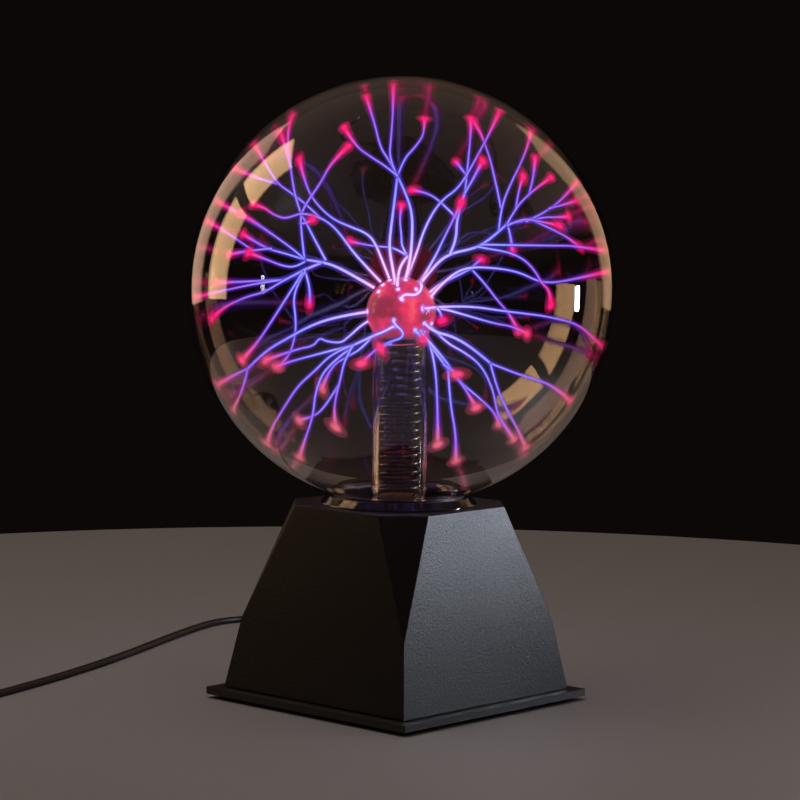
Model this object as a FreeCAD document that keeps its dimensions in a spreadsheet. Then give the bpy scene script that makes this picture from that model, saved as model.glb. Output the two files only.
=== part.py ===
import FreeCAD, Part
import math
import os
import re

import Sketcher

# A mains-adapter plasma ball: a gas-filled glass globe on a square, sloping plastic base that holds
# the high-voltage driver. Millimetres, +Z up. The origin is the middle of the base's footprint on the
# table. -Y is the front, +Y the rear with the controls and the power lead.

Vector = FreeCAD.Vector
Rotation = FreeCAD.Rotation
Placement = FreeCAD.Placement

# ---------------------------------------------------------------------------------------------
# Driving sizes: each one is a cell of the sheet
# ---------------------------------------------------------------------------------------------
SIZES = {
    # glass
    "globe_radius": 101.6,
    "globe_wall": 2.0,
    "neck_radius": 29.0,
    "neck_wall": 2.0,
    "neck_drop": 14.8,
    "stem_radius": 13.35,
    "stem_wall": 1.6,
    "stem_blend": 5.0,
    "flare_thickness": 2.0,
    "bulb_radius": 16.2,
    "bulb_drop": 10.1,
    "bulb_blend": 3.0,
    "pip_radius": 2.5,
    "pip_length": 12.0,
    "pip_offset": 20.0,
    # electrode
    "wool_gap": 0.4,
    "spring_gap": 1.45,
    "spring_wire": 2.2,
    "spring_pitch": 4.0,
    "terminal_thickness": 2.0,
    "terminal_stud_radius": 2.6,
    "terminal_stud_length": 8.0,
    "stopper_length": 9.0,
    "lead_radius": 1.5,
    # collar
    "collar_radius": 37.3,
    "collar_rim_radius": 34.1,
    "collar_height": 3.9,
    "collar_skirt": 6.8,
    "collar_skirt_wall": 2.3,
    "collar_round": 0.8,
    "seal_width": 2.0,
    "ring_nut_thickness": 2.6,
    "ring_nut_width": 6.0,
    # base casing
    "base_half_width": 58.3,
    "top_half_width": 43.3,
    "base_height": 88.9,
    "kink_height": 32.9,
    "corner_cut": 16.6,
    "casing_wall": 2.5,
    "boss_radius": 4.0,
    "boss_inset": 11.3,
    "boss_height": 42.0,
    # bottom plate
    "flange_half_width": 64.6,
    "flange_thickness": 3.3,
    "shadow_gap": 0.6,
    "shadow_setback": 1.0,
    "plinth_height": 2.5,
    "vent_length": 40.0,
    "vent_width": 3.0,
    "vent_pitch": 8.0,
    "foot_radius": 5.0,
    "foot_height": 2.0,
    "foot_inset": 8.6,
    # circuit board
    "board_thickness": 1.6,
    "post_height": 5.0,
    "post_radius": 3.0,
    "post_inset": 5.0,
    "board_rear_setback": 34.3,
    # rear panel
    "panel_row_height": 22.0,
    "jack_x": 22.0,
    "jack_radius": 5.0,
    "jack_bore_radius": 3.1,
    "jack_pin_radius": 1.0,
    "jack_flange": 1.6,
    "plug_barrel_radius": 2.75,
    "plug_bore_radius": 1.25,
    "plug_radius": 5.2,
    "plug_length": 38.0,
    "switch_x": 2.0,
    "switch_travel": 2.5,
    "slider_length": 4.0,
    "slider_width": 3.4,
    "knob_x": 28.0,
    "knob_radius": 9.0,
    "knob_height": 12.0,
    "shaft_radius": 3.0,
    "bush_radius": 4.5,
    "microphone_rise": 22.0,
    "microphone_radius": 4.85,
    # lead and adapter
    "cord_diameter": 3.5,
    "coil_mid_radius": 20.0,
    "coil_width": 10.5,
    "coil_height": 14.0,
    "adapter_length": 68.0,
    "adapter_width": 42.0,
    "adapter_height": 28.0,
    "relief_length": 16.0,
    # fits
    "fit_gap": 0.15,
    "free_gap": 0.3,
    "running_gap": 0.06,
}

# Sizes that follow from the driving ones
DERIVED = {
    "plate_bottom": "foot_height",
    "plate_top": "plate_bottom + flange_thickness",
    "base_bottom": "plate_top + shadow_gap",
    "plinth_top": "base_bottom + plinth_height",
    "base_top": "base_bottom + base_height",
    "side_slope": "(base_half_width - top_half_width) / base_height",
    "side_lean": "sqrt(1 + side_slope * side_slope)",
    "kink_half_width": "base_half_width - side_slope * kink_height",
    "corner_top": "(2 * top_half_width - corner_cut) / sqrt(2)",
    "corner_slope": "(sqrt(2) * kink_half_width - corner_top) / (base_height - kink_height)",
    "corner_lean": "sqrt(1 + corner_slope * corner_slope)",
    "collar_top": "base_top + collar_height",
    "globe_centre": "collar_top + sqrt(globe_radius * globe_radius - neck_radius * neck_radius)",
    "bulb_centre": "globe_centre - bulb_drop",
    "neck_bottom": "base_top - neck_drop",
    "flare_bottom": "neck_bottom - flare_thickness",
    "stem_bore": "stem_radius - stem_wall",
    "wool_radius": "bulb_radius - stem_wall - wool_gap",
    "stopper_low": "neck_bottom + stem_blend + 1",
    "stopper_high": "stopper_low + stopper_length",
    "terminal_top": "stopper_high + terminal_thickness",
    "spring_radius": "stem_bore - spring_gap",
    "spring_line": "spring_radius - spring_wire / 2",
    "wool_low": "bulb_centre - bulb_radius + 2",
    "skirt_bore": "neck_radius + free_gap",
    "skirt_radius": "skirt_bore + collar_skirt_wall",
    "top_hole_radius": "skirt_radius + free_gap",
    "boss_place": "base_half_width - boss_inset",
    "foot_place": "flange_half_width - foot_inset",
    "board_low": "plinth_top + post_height",
    "board_top": "board_low + board_thickness",
    "board_half_width": "boss_place - boss_radius - 1",
    "board_front": "boss_place - 7",
    "board_rear": "base_half_width - board_rear_setback",
    "post_x": "board_half_width - post_inset",
    "post_front": "board_front - post_inset",
    "post_rear": "board_rear - post_inset",
    "flyback_x": "-board_half_width + 13",
    "heat_sink_x": "board_half_width - 14",
}


def spelled(formula):
    """The same formula written out in the sheet's own cells."""
    def spell(found):
        word = found.group(0)
        if word in DERIVED:
            return "(" + spelled(DERIVED[word]) + ")"
        if word in SIZES:
            return "Sizes." + word
        return word
    return re.sub(r"[A-Za-z_]\w*", spell, str(formula))


doc = FreeCAD.newDocument("PlasmaBall")
sheet = doc.addObject("Spreadsheet::Sheet", "Sizes")
for row, (alias, number) in enumerate(SIZES.items(), start=1):
    sheet.set("A%d" % row, alias)
    sheet.set("B%d" % row, str(number))
    sheet.setAlias("B%d" % row, alias)
doc.recompute()

sub_parts = []


def value(formula):
    """A formula's number, in millimetres or degrees."""
    answer = sheet.evalExpression(spelled(formula))
    return float(getattr(answer, "Value", answer))


def bind(thing, **formulas):
    for name, formula in formulas.items():
        thing.setExpression(name, spelled(formula))
    return thing


def place(thing, x=0, y=0, z=0):
    """Put an unturned object at a point given by formulas."""
    for axis, formula in zip("xyz", (x, y, z)):
        thing.setExpression(".Placement.Base." + axis, spelled(formula))
    return thing


def finished(thing, label, placement=None):
    """Name a sub-part, which is also the name of its file."""
    thing.Label = label
    if placement is not None:
        thing.Placement = placement
    sub_parts.append(thing)
    return thing


# ---------------------------------------------------------------------------------------------
# Primitives and booleans
# ---------------------------------------------------------------------------------------------
def box(x, y, z, length, width, height):
    """A block from its lowest corner."""
    thing = bind(doc.addObject("Part::Box", "Block"), Length=length, Width=width, Height=height)
    return place(thing, x, y, z)


def centred_box(x, y, z, length, width, height):
    """A block centred on x and y, standing on z."""
    return box("%s - (%s) / 2" % (x, length), "%s - (%s) / 2" % (y, width), z, length, width, height)


def cylinder(radius, height, x=0, y=0, z=0):
    return place(bind(doc.addObject("Part::Cylinder", "Rod"), Radius=radius, Height=height), x, y, z)


def sphere(radius, x=0, y=0, z=0):
    return place(bind(doc.addObject("Part::Sphere", "Ball"), Radius=radius), x, y, z)


def hexagon(flats, height, z):
    """A six-sided bar across the given flats."""
    outline = bind(doc.addObject("Part::RegularPolygon", "Hexagon"), Circumradius="(%s) / sqrt(3)" % flats)
    outline.Polygon = 6
    place(outline, 0, 0, z)
    bar = doc.addObject("Part::Extrusion", "HexBar")
    bar.Base = outline
    bar.DirMode = "Custom"
    bar.Dir = Vector(0, 0, 1)
    bar.Solid = True
    return bind(bar, LengthFwd=height)


def fuse(*things):
    joined = doc.addObject("Part::MultiFuse", "Joined")
    joined.Shapes = list(things)
    joined.Refine = True
    return joined


def cut(base, *tools):
    result = doc.addObject("Part::Cut", "Trimmed")
    result.Base = base
    result.Tool = tools[0] if len(tools) == 1 else fuse(*tools)
    result.Refine = True
    return result


def common(*things):
    shared = doc.addObject("Part::MultiCommon", "Shared")
    shared.Shapes = list(things)
    return shared


def group(*things):
    """Several separate solids of one kind in one node."""
    together = doc.addObject("Part::Compound", "Group")
    together.Links = list(things)
    return together


def ring_edges(shape, radius, height):
    """Numbers of the circular edges of that radius at that height."""
    return [number for number, edge in enumerate(shape.Edges, start=1) if edge_is_ring(edge, radius, height)]


def edge_is_ring(edge, radius, height):
    """True for a circular edge of that radius at that height; the poles of a ball have no curve."""
    if edge.Degenerated or not isinstance(edge.Curve, Part.Circle):
        return False
    return abs(edge.Curve.Radius - radius) < 0.01 and abs(edge.Curve.Center.z - height) < 0.01


def blended(base, rings):
    """Fillet the circular edges given as (radius, height, fillet)."""
    doc.recompute()
    rounded = doc.addObject("Part::Fillet", "Blended")
    rounded.Base = base
    edges = []
    for radius, height, fillet in rings:
        for number in ring_edges(base.Shape, value(radius), value(height)):
            edges.append((number, value(fillet), value(fillet)))
    if len(edges) < len(rings):
        raise ValueError("a blend found no edge")
    rounded.Edges = edges
    return rounded


# ---------------------------------------------------------------------------------------------
# PartDesign bodies
# ---------------------------------------------------------------------------------------------
def new_body():
    return doc.addObject("PartDesign::Body", "Body")


def new_sketch(body, plane, height="0"):
    """A sketch on one of the body's own origin planes, raised by a formula."""
    drawing = body.newObject("Sketcher::SketchObject", "Sketch")
    support = [feature for feature in body.Origin.OriginFeatures if feature.Role == plane][0]
    drawing.AttachmentSupport = [(support, "")]
    drawing.MapMode = "FlatFace"
    drawing.setExpression(".AttachmentOffset.Base.z", spelled(height))
    return drawing


def draw_outline(drawing, points):
    """A closed outline of straight lines through points given as pairs of formulas."""
    first = len(drawing.Geometry)
    spots = [Vector(value(x), value(y), 0) for x, y in points]
    count = len(spots)
    for index in range(count):
        drawing.addGeometry(Part.LineSegment(spots[index], spots[(index + 1) % count]))
    for index in range(count):
        following = first + (index + 1) % count
        drawing.addConstraint(Sketcher.Constraint("Coincident", first + index, 2, following, 1))
    for index, (x, y) in enumerate(points):
        pin_point(drawing, first + index, 1, x, y)


def pin_point(drawing, geometry, vertex, x, y):
    for kind, formula in (("DistanceX", x), ("DistanceY", y)):
        number = drawing.addConstraint(Sketcher.Constraint(kind, geometry, vertex, value(formula)))
        drawing.setExpression("Constraints[%d]" % number, spelled(formula))


def draw_circle(drawing, x, y, radius):
    centre = Vector(value(x), value(y), 0)
    ring = drawing.addGeometry(Part.Circle(centre, Vector(0, 0, 1), value(radius)))
    pin_point(drawing, ring, 3, x, y)
    number = drawing.addConstraint(Sketcher.Constraint("Radius", ring, value(radius)))
    drawing.setExpression("Constraints[%d]" % number, spelled(radius))


def rectangle(x0, x1, y0, y1):
    return [(x0, y0), (x1, y0), (x1, y1), (x0, y1)]


def square(half):
    return rectangle("-(%s)" % half, half, "-(%s)" % half, half)


def pad(body, outlines, low, height, circles=()):
    """Add material upwards from a height."""
    drawing = new_sketch(body, "XY_Plane", low)
    for outline in outlines:
        draw_outline(drawing, outline)
    for circle in circles:
        draw_circle(drawing, *circle)
    feature = body.newObject("PartDesign::Pad", "Pad")
    feature.Profile = drawing
    return bind(feature, Length=height)


def pocket(body, outlines, low, height, circles=()):
    """Take material away upwards from a height, and check that some went."""
    doc.recompute()
    before = body.Shape.Volume
    drawing = new_sketch(body, "XY_Plane", low)
    for outline in outlines:
        draw_outline(drawing, outline)
    for circle in circles:
        draw_circle(drawing, *circle)
    feature = body.newObject("PartDesign::Pocket", "Pocket")
    feature.Profile = drawing
    feature.Reversed = True
    bind(feature, Length=height)
    doc.recompute()
    if not body.Shape.Volume < before - 1e-6:
        raise ValueError("a pocket cut nothing")
    return feature


def turned(outlines):
    """A body turned about its own Z axis from outlines of (radius, height)."""
    body = new_body()
    drawing = new_sketch(body, "XZ_Plane")
    for outline in outlines:
        draw_outline(drawing, outline)
    feature = body.newObject("PartDesign::Revolution", "Turning")
    feature.Profile = drawing
    feature.ReferenceAxis = (drawing, ["V_Axis"])
    feature.Angle = 360
    return body


def dress(body, kind, size, wanted):
    """Fillet or chamfer the edges of a body that a test picks out."""
    doc.recompute()
    edges = enumerate(body.Shape.Edges, start=1)
    names = ["Edge%d" % number for number, edge in edges if not edge.Degenerated and wanted(edge)]
    if not names:
        raise ValueError("a %s found no edge" % kind)
    base = body.Tip
    feature = body.newObject("PartDesign::" + kind, kind)
    feature.Base = (base, names)
    return bind(feature, **{"Radius" if kind == "Fillet" else "Size": size})


def repeated_round(body, feature, count):
    """Repeat a feature evenly about the body's Z axis."""
    pattern = body.newObject("PartDesign::PolarPattern", "Round")
    pattern.Originals = [feature]
    axis = [item for item in body.Origin.OriginFeatures if item.Role == "Z_Axis"][0]
    pattern.Axis = (axis, [""])
    pattern.Angle = 360
    pattern.Occurrences = count
    body.Tip = pattern
    return pattern


def repeated_along(body, feature, role, length, count):
    """Repeat a feature in a row that is as long as the formula says."""
    pattern = body.newObject("PartDesign::LinearPattern", "Row")
    pattern.Originals = [feature]
    axis = [item for item in body.Origin.OriginFeatures if item.Role == role][0]
    pattern.Direction = (axis, [""])
    bind(pattern, Length=length)
    pattern.Occurrences = count
    body.Tip = pattern
    return pattern


def corners(x, y):
    """The four mirrored places of a point in the first quarter."""
    return [("(%s) * %d" % (x, i), "(%s) * %d" % (y, j)) for i in (1, -1) for j in (1, -1)]


# ---------------------------------------------------------------------------------------------
# The sloping rear panel: its own frame has X along the panel, Y down it and Z straight out of it
# ---------------------------------------------------------------------------------------------
PANEL_LEAN = value("atan(side_slope)")


def on_panel(x, height, out=0.0):
    """The place on the rear face's outer surface at a height, moved outwards."""
    rear_y = value("base_half_width") - value("side_slope") * (height - value("base_bottom"))
    turn = Rotation(Vector(1, 0, 0), PANEL_LEAN - 90)
    seat = Placement(Vector(x, rear_y, height), turn)
    return seat.multiply(Placement(Vector(0, 0, out), Rotation()))


ROW_HEIGHT = value("panel_row_height")
JACK_SEAT = on_panel(-value("jack_x"), ROW_HEIGHT)
SWITCH_SEAT = on_panel(value("switch_x"), ROW_HEIGHT)
KNOB_SEAT = on_panel(value("knob_x"), ROW_HEIGHT)
MICROPHONE_SEAT = on_panel(value("switch_x"), ROW_HEIGHT + value("microphone_rise"))


# ---------------------------------------------------------------------------------------------
# Glass
# ---------------------------------------------------------------------------------------------
def glass_globe():
    """The blown globe and its open neck."""
    outside = fuse(sphere("globe_radius", 0, 0, "globe_centre"),
                   cylinder("neck_radius", "globe_centre - neck_bottom", 0, 0, "neck_bottom"))
    inside = fuse(sphere("globe_radius - globe_wall", 0, 0, "globe_centre"),
                  cylinder("neck_radius - neck_wall", "globe_centre - neck_bottom + 1", 0, 0, "neck_bottom - 1"))
    finished(cut(outside, inside), "glass_globe")


def electrode_stem():
    """The inner glass tube with a blown bulb on top and a flared foot sealed to the globe's neck."""
    tube_height = "bulb_centre - flare_bottom"
    waist = "bulb_centre - sqrt(bulb_radius * bulb_radius - stem_radius * stem_radius)"
    outside = fuse(cylinder("stem_radius", tube_height, 0, 0, "flare_bottom"),
                   sphere("bulb_radius", 0, 0, "bulb_centre"),
                   cylinder("neck_radius", "flare_thickness", 0, 0, "flare_bottom"))
    outside = blended(outside, [("stem_radius", "neck_bottom", "stem_blend"),
                                ("stem_radius", waist, "bulb_blend")])
    inside = fuse(cylinder("stem_bore", tube_height + " + 1", 0, 0, "flare_bottom - 1"),
                  sphere("bulb_radius - stem_wall", 0, 0, "bulb_centre"))
    finished(cut(outside, inside), "electrode_stem")


def exhaust_pip():
    """The sealed-off tip of the tube through which the globe was pumped and filled."""
    rod = cylinder("pip_radius", "pip_length - pip_radius", "pip_offset", 0,
                   "flare_bottom - pip_length + pip_radius")
    end = sphere("pip_radius", "pip_offset", 0, "flare_bottom - pip_length + pip_radius")
    finished(fuse(rod, end), "exhaust_pip")


# ---------------------------------------------------------------------------------------------
# Electrode
# ---------------------------------------------------------------------------------------------
def electrode_wool():
    """The ball of conducting wool that fills the bulb, with a tail down into the tube."""
    tail = cylinder("stem_bore - wool_gap", "bulb_centre - wool_low", 0, 0, "wool_low")
    ball = sphere("wool_radius", 0, 0, "bulb_centre")
    below = cylinder("bulb_radius", "bulb_radius", 0, 0, "wool_low - bulb_radius")
    finished(cut(fuse(tail, ball), below), "electrode_wool")


def contact_spring():
    """The coil spring that joins the terminal to the wool."""
    line = doc.addObject("Part::Helix", "SpringLine")
    bind(line, Pitch="spring_pitch", Radius="spring_line",
         Height="wool_low - terminal_top - spring_wire - 0.2")
    place(line, 0, 0, "terminal_top + spring_wire / 2 + 0.1")
    section = doc.addObject("Part::Circle", "WireSection")
    section.Placement = Placement(Vector(0, 0, 0), Rotation(Vector(1, 0, 0), 90))
    bind(section, Radius="spring_wire / 2")
    place(section, "spring_line", 0, "terminal_top + spring_wire / 2 + 0.1")
    wire = doc.addObject("Part::Sweep", "SpringWire")
    wire.Sections = [section]
    wire.Spine = (line, ["Edge1"])
    wire.Solid = True
    wire.Frenet = True
    finished(wire, "contact_spring")


def spring_terminal():
    """The brass cup under the spring, with the stud that the high-voltage lead is crimped to."""
    stud_low = "stopper_high - terminal_stud_length"
    body = turned([[("0", stud_low), ("terminal_stud_radius", stud_low),
                    ("terminal_stud_radius", "stopper_high"), ("stem_bore - 0.4", "stopper_high"),
                    ("stem_bore - 0.4", "terminal_top"), ("0", "terminal_top")]])
    finished(body, "spring_terminal")


def stem_stopper():
    """The silicone bung in the tube's mouth, bored for the terminal's stud."""
    stud_low = "stopper_high - terminal_stud_length"
    body = turned([[("lead_radius + 0.1", "stopper_low"), ("stem_bore - 0.1", "stopper_low"),
                    ("stem_bore - 0.1", "stopper_high"), ("terminal_stud_radius + 0.1", "stopper_high"),
                    ("terminal_stud_radius + 0.1", stud_low), ("lead_radius + 0.1", stud_low)]])
    finished(body, "stem_stopper")


# ---------------------------------------------------------------------------------------------
# Collar
# ---------------------------------------------------------------------------------------------
def globe_collar():
    """The glossy ring that the globe sits in, with a skirt through the casing's top."""
    skirt_low = "base_top - collar_skirt"
    body = turned([[("skirt_bore", skirt_low), ("skirt_radius", skirt_low), ("skirt_radius", "base_top"),
                    ("collar_radius", "base_top"), ("collar_rim_radius", "collar_top"),
                    ("skirt_bore + seal_width", "collar_top"), ("skirt_bore", "collar_top - 1.4")]])
    rim = (value("collar_rim_radius"), value("collar_top"))
    dress(body, "Fillet", "collar_round", lambda edge: edge_is_ring(edge, *rim))
    finished(body, "globe_collar")


def globe_seal():
    """The soft ring squeezed between collar and glass, which carries the globe."""
    blank = turned([[("skirt_bore - 0.1", "collar_top - 1.3"), ("skirt_bore + seal_width - 0.1", "collar_top"),
                     ("skirt_bore + seal_width - 0.1", "collar_top + 1.2"),
                     ("skirt_bore - 0.1", "collar_top + 1.2")]])
    glass = sphere("globe_radius + 0.05", 0, 0, "globe_centre")
    finished(cut(blank, glass), "globe_seal")


def collar_nut():
    """The ring that holds the collar's skirt from below the casing's top."""
    low = "base_top - casing_wall - ring_nut_thickness"
    body = turned([rectangle("skirt_radius + 0.05", "skirt_radius + ring_nut_width", low,
                             "base_top - casing_wall")])
    notch = pocket(body, [rectangle("skirt_radius + 4", "skirt_radius + 10", "-2", "2")], low + " - 1",
                   "ring_nut_thickness + 2")
    repeated_round(body, notch, 6)
    finished(body, "collar_nut")


# ---------------------------------------------------------------------------------------------
# Base casing
# ---------------------------------------------------------------------------------------------
def pyramid(low_half, high_half, low, high, turn):
    """A square pyramid's slice between two heights, turned about Z."""
    slab = doc.addObject("Part::Wedge", "Pyramid")
    slab.Placement = Placement(Vector(0, 0, 0), Rotation(Vector(0, 0, 1), turn) * Rotation(Vector(1, 0, 0), 90))
    bind(slab, Ymin=low, Ymax=high,
         Xmin="-(%s)" % low_half, Xmax=low_half, Zmin="-(%s)" % low_half, Zmax=low_half,
         X2min="-(%s)" % high_half, X2max=high_half, Z2min="-(%s)" % high_half, Z2max=high_half)
    return slab


def side_half(height, inset="0"):
    return "base_half_width - side_slope * (%s - base_bottom) - (%s) * side_lean" % (height, inset)


def corner_half(height, inset="0"):
    return "corner_top + corner_slope * (base_top - (%s)) - (%s) * corner_lean" % (height, inset)


def tapered_block(low, high, inset):
    """Four sloping sides with four sloping corner cuts: two pyramids crossed at 45 degrees."""
    sides = pyramid(side_half(low, inset), side_half(high, inset), low, high, 0)
    cuts = pyramid(corner_half(low, inset), corner_half(high, inset), low, high, 45)
    return common(sides, cuts)


def panel_cutters():
    """What is cut out of the rear panel for the jack, switch, knob and microphone."""
    through = "casing_wall + 4"
    low = "-(casing_wall + 2)"
    cutters = []
    jack = cylinder("jack_radius + free_gap", through, 0, 0, low)
    slot = centred_box("0", "0", low, "slider_length + 2 * switch_travel + 0.8", "slider_width + 0.8", through)
    screws = [cylinder("1.1", through, x, 0, low) for x in (-10.5, 10.5)]
    bush = cylinder("bush_radius + fit_gap", through, 0, 0, low)
    grille = [cylinder("0.6", through, 0, 0, low)]
    for step in range(6):
        angle = math.radians(60 * step)
        grille.append(cylinder("0.6", through, 2.6 * math.cos(angle), 2.6 * math.sin(angle), low))
    for things, seat in (([jack], JACK_SEAT), ([slot] + screws, SWITCH_SEAT), ([bush], KNOB_SEAT),
                         (grille, MICROPHONE_SEAT)):
        cutter = group(*things)
        cutter.Placement = seat
        cutters.append(cutter)
    return cutters


def base_shell():
    """The moulded casing: hollow, open below, with four screw bosses and the rear panel's holes."""
    outside = tapered_block("base_bottom", "base_top", "0")
    inside = tapered_block("base_bottom - 1", "base_top - casing_wall", "casing_wall")
    shell = cut(outside, inside)
    posts = []
    pilots = []
    for x, y in corners("boss_place", "boss_place"):
        posts.append(cylinder("boss_radius", "boss_height", x, y, "plinth_top"))
        pilots.append(cylinder("1.55", "14", x, y, "plinth_top - 0.5"))
    bosses = common(fuse(*posts), tapered_block("base_bottom", "base_top", "0.2"))
    hole = cylinder("top_hole_radius", "casing_wall + 2", 0, 0, "base_top - casing_wall - 1")
    finished(cut(fuse(shell, bosses), hole, *(pilots + panel_cutters())), "base_shell")


def bottom_plate():
    """The flanged plate that closes the casing, with vents, screw holes and board posts."""
    body = new_body()
    pad(body, [square("flange_half_width")], "plate_bottom", "flange_thickness")
    edge_test = lambda edge: abs(edge.tangentAt(edge.FirstParameter).z) > 0.99
    dress(body, "Fillet", "0.8", edge_test)
    pad(body, [square("base_half_width - shadow_setback")], "plate_top", "shadow_gap")
    pad(body, [square(side_half("plinth_top", "casing_wall") + " - fit_gap")], "base_bottom", "plinth_height")
    posts = [("%s * %d" % ("post_x", side), y) for side in (1, -1) for y in ("-(post_front)", "post_rear")]
    pad(body, [], "plinth_top", "post_height", [(x, y, "post_radius") for x, y in posts])
    pocket(body, [], "plinth_top", "post_height", [(x, y, "1.25") for x, y in posts])
    slot = pocket(body, [rectangle("-2.5 * vent_pitch - vent_width / 2", "-2.5 * vent_pitch + vent_width / 2",
                                   "-vent_length / 2 - 8", "vent_length / 2 - 8")],
                  "plate_bottom - 1", "plinth_top - plate_bottom + 2")
    repeated_along(body, slot, "X_Axis", "5 * vent_pitch", 6)
    through = "plinth_top - plate_bottom + 2"
    hole = pocket(body, [], "plate_bottom - 1", through, [("boss_place", "boss_place", "1.8")])
    repeated_round(body, hole, 4)
    sink = pocket(body, [], "plate_bottom - 1", "1 + 2.2", [("boss_place", "boss_place", "3.5")])
    repeated_round(body, sink, 4)
    finished(body, "bottom_plate")


def four_of(label, outline, places, z="0"):
    """Four equal turned pieces, each standing on z."""
    pieces = []
    for x, y in places:
        piece = turned([outline])
        place(piece, x, y, z)
        pieces.append(piece)
    finished(group(*pieces), label)


def base_screws():
    """Self-tapping screws up through the plate into the casing's bosses."""
    outline = [("0", "0.3"), ("3.2", "0.3"), ("3.2", "2.15"), ("1.5", "2.15"), ("1.5", "17"), ("0.3", "18.4"),
               ("0", "18.4")]
    four_of("base_screws", outline, corners("boss_place", "boss_place"), "plate_bottom")


def rubber_feet():
    outline = [("0", "0"), ("foot_radius - 0.4", "0"), ("foot_radius", "0.4"), ("foot_radius", "foot_height"),
               ("0", "foot_height")]
    four_of("rubber_feet", outline, corners("foot_place", "foot_place"))


# ---------------------------------------------------------------------------------------------
# Circuit board and what stands on it
# ---------------------------------------------------------------------------------------------
def circuit_board():
    body = new_body()
    pad(body, [rectangle("-(board_half_width)", "board_half_width", "-(board_front)", "board_rear")], "board_low",
        "board_thickness")
    places = [("%s * %d" % ("post_x", side), y) for side in (1, -1) for y in ("-(post_front)", "post_rear")]
    pocket(body, [], "board_low - 1", "board_thickness + 2", [(x, y, "1.6") for x, y in places])
    finished(body, "circuit_board")


def board_screws():
    outline = [("0", "-board_thickness - 3.6"), ("1.2", "-board_thickness - 3.6"), ("1.2", "0"), ("2.7", "0"),
               ("2.7", "1.4"), ("2.2", "1.9"), ("0", "1.9")]
    places = [("%s * %d" % ("post_x", side), y) for side in (1, -1) for y in ("-(post_front)", "post_rear")]
    four_of("board_screws", outline, places, "board_top")


def flyback():
    """The ferrite frame of the high-voltage transformer and the potted winding on one of its legs."""
    core = cut(centred_box("flyback_x + 11", "-10", "board_top", "30", "9", "32"),
               centred_box("flyback_x + 11", "-10", "board_top + 8", "14", "11", "16"))
    finished(core, "flyback_core")
    winding = cut(cylinder("11.5", "15.6", "flyback_x", "-10", "board_top + 8.2"),
                  centred_box("flyback_x", "-10", "board_top + 8", "8.4", "9.4", "16"))
    spare = centred_box("flyback_x + 22", "-10", "board_top", "8", "11", "32")
    finished(cut(winding, spare), "flyback_winding")


def heat_sink():
    """A finned plate for the power transistor."""
    body = new_body()
    pad(body, [rectangle("heat_sink_x", "heat_sink_x + 3", "-31", "-4")], "board_top", "26")
    fin = pad(body, [rectangle("heat_sink_x + 3", "heat_sink_x + 9", "-31", "-29.4")], "board_top", "26")
    repeated_along(body, fin, "Y_Axis", "25.4", 5)
    finished(cut(body, panel_rod("1.3", "heat_sink_x - 1", "5")), "heat_sink")


def panel_rod(radius, low, length):
    """A rod along X through the transistor's fixing point."""
    rod = bind(doc.addObject("Part::Cylinder", "CrossRod"), Radius=radius, Height=length)
    rod.Placement = Placement(Vector(0, 0, 0), Rotation(Vector(0, 1, 0), 90))
    return place(rod, low, "-18", "board_top + 22")


def power_transistor():
    """A tab-mounted transistor with three legs."""
    tab = cut(box("heat_sink_x - 1.3", "-23", "board_top + 8", "1.3", "10", "17"),
              panel_rod("1.7", "heat_sink_x - 4", "6"))
    case = box("heat_sink_x - 4.5", "-23", "board_top + 8", "3.2", "10", "9.5")
    legs = [box("heat_sink_x - 3", "%s" % (-20.94 + 2.54 * leg), "board_top", "0.6", "0.8", "8")
            for leg in range(3)]
    finished(fuse(tab, case, *legs), "power_transistor")


def transistor_screw():
    head = panel_rod("2.7", "heat_sink_x - 3.3", "2")
    shank = panel_rod("1.25", "heat_sink_x - 1.3", "4")
    finished(fuse(head, shank), "transistor_screw")


def capacitors():
    cans = []
    for x, y, radius, height in ((6, 12, 6, 20), (20, 13, 4, 12), (-10, 14, 4, 12)):
        cans.append(fuse(cylinder(radius, height, x, y, "board_top"),
                         cylinder(radius - 0.6, 0.5, x, y, "board_top + %s" % height)))
    finished(group(*cans), "capacitors")


def control_chip():
    case = centred_box("8", "-26", "board_top + 0.6", "6.4", "9.8", "3.3")
    pins = [centred_box("8 + %s" % (side * 3.7), "-26 + %s" % (-3.81 + 2.54 * n), "board_top", "1.0", "0.6", "1.6")
            for side in (1, -1) for n in range(4)]
    finished(fuse(case, *pins), "control_chip")


def choke():
    ring = bind(doc.addObject("Part::Torus", "Ring"), Radius1="5.5", Radius2="2.6")
    finished(place(ring, "-6", "-33", "board_top + 2.6"), "choke")


def resistors():
    pieces = []
    for x, y in ((-22, -34), (-22, -29), (4, -14), (12, -14)):
        rod = bind(doc.addObject("Part::Cylinder", "Resistor"), Radius="1.2", Height="6.4")
        rod.Placement = Placement(Vector(0, 0, 0), Rotation(Vector(1, 0, 0), -90))
        place(rod, x, y, "board_top + 1.2")
        pieces.append(rod)
    finished(group(*pieces), "resistors")


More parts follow.
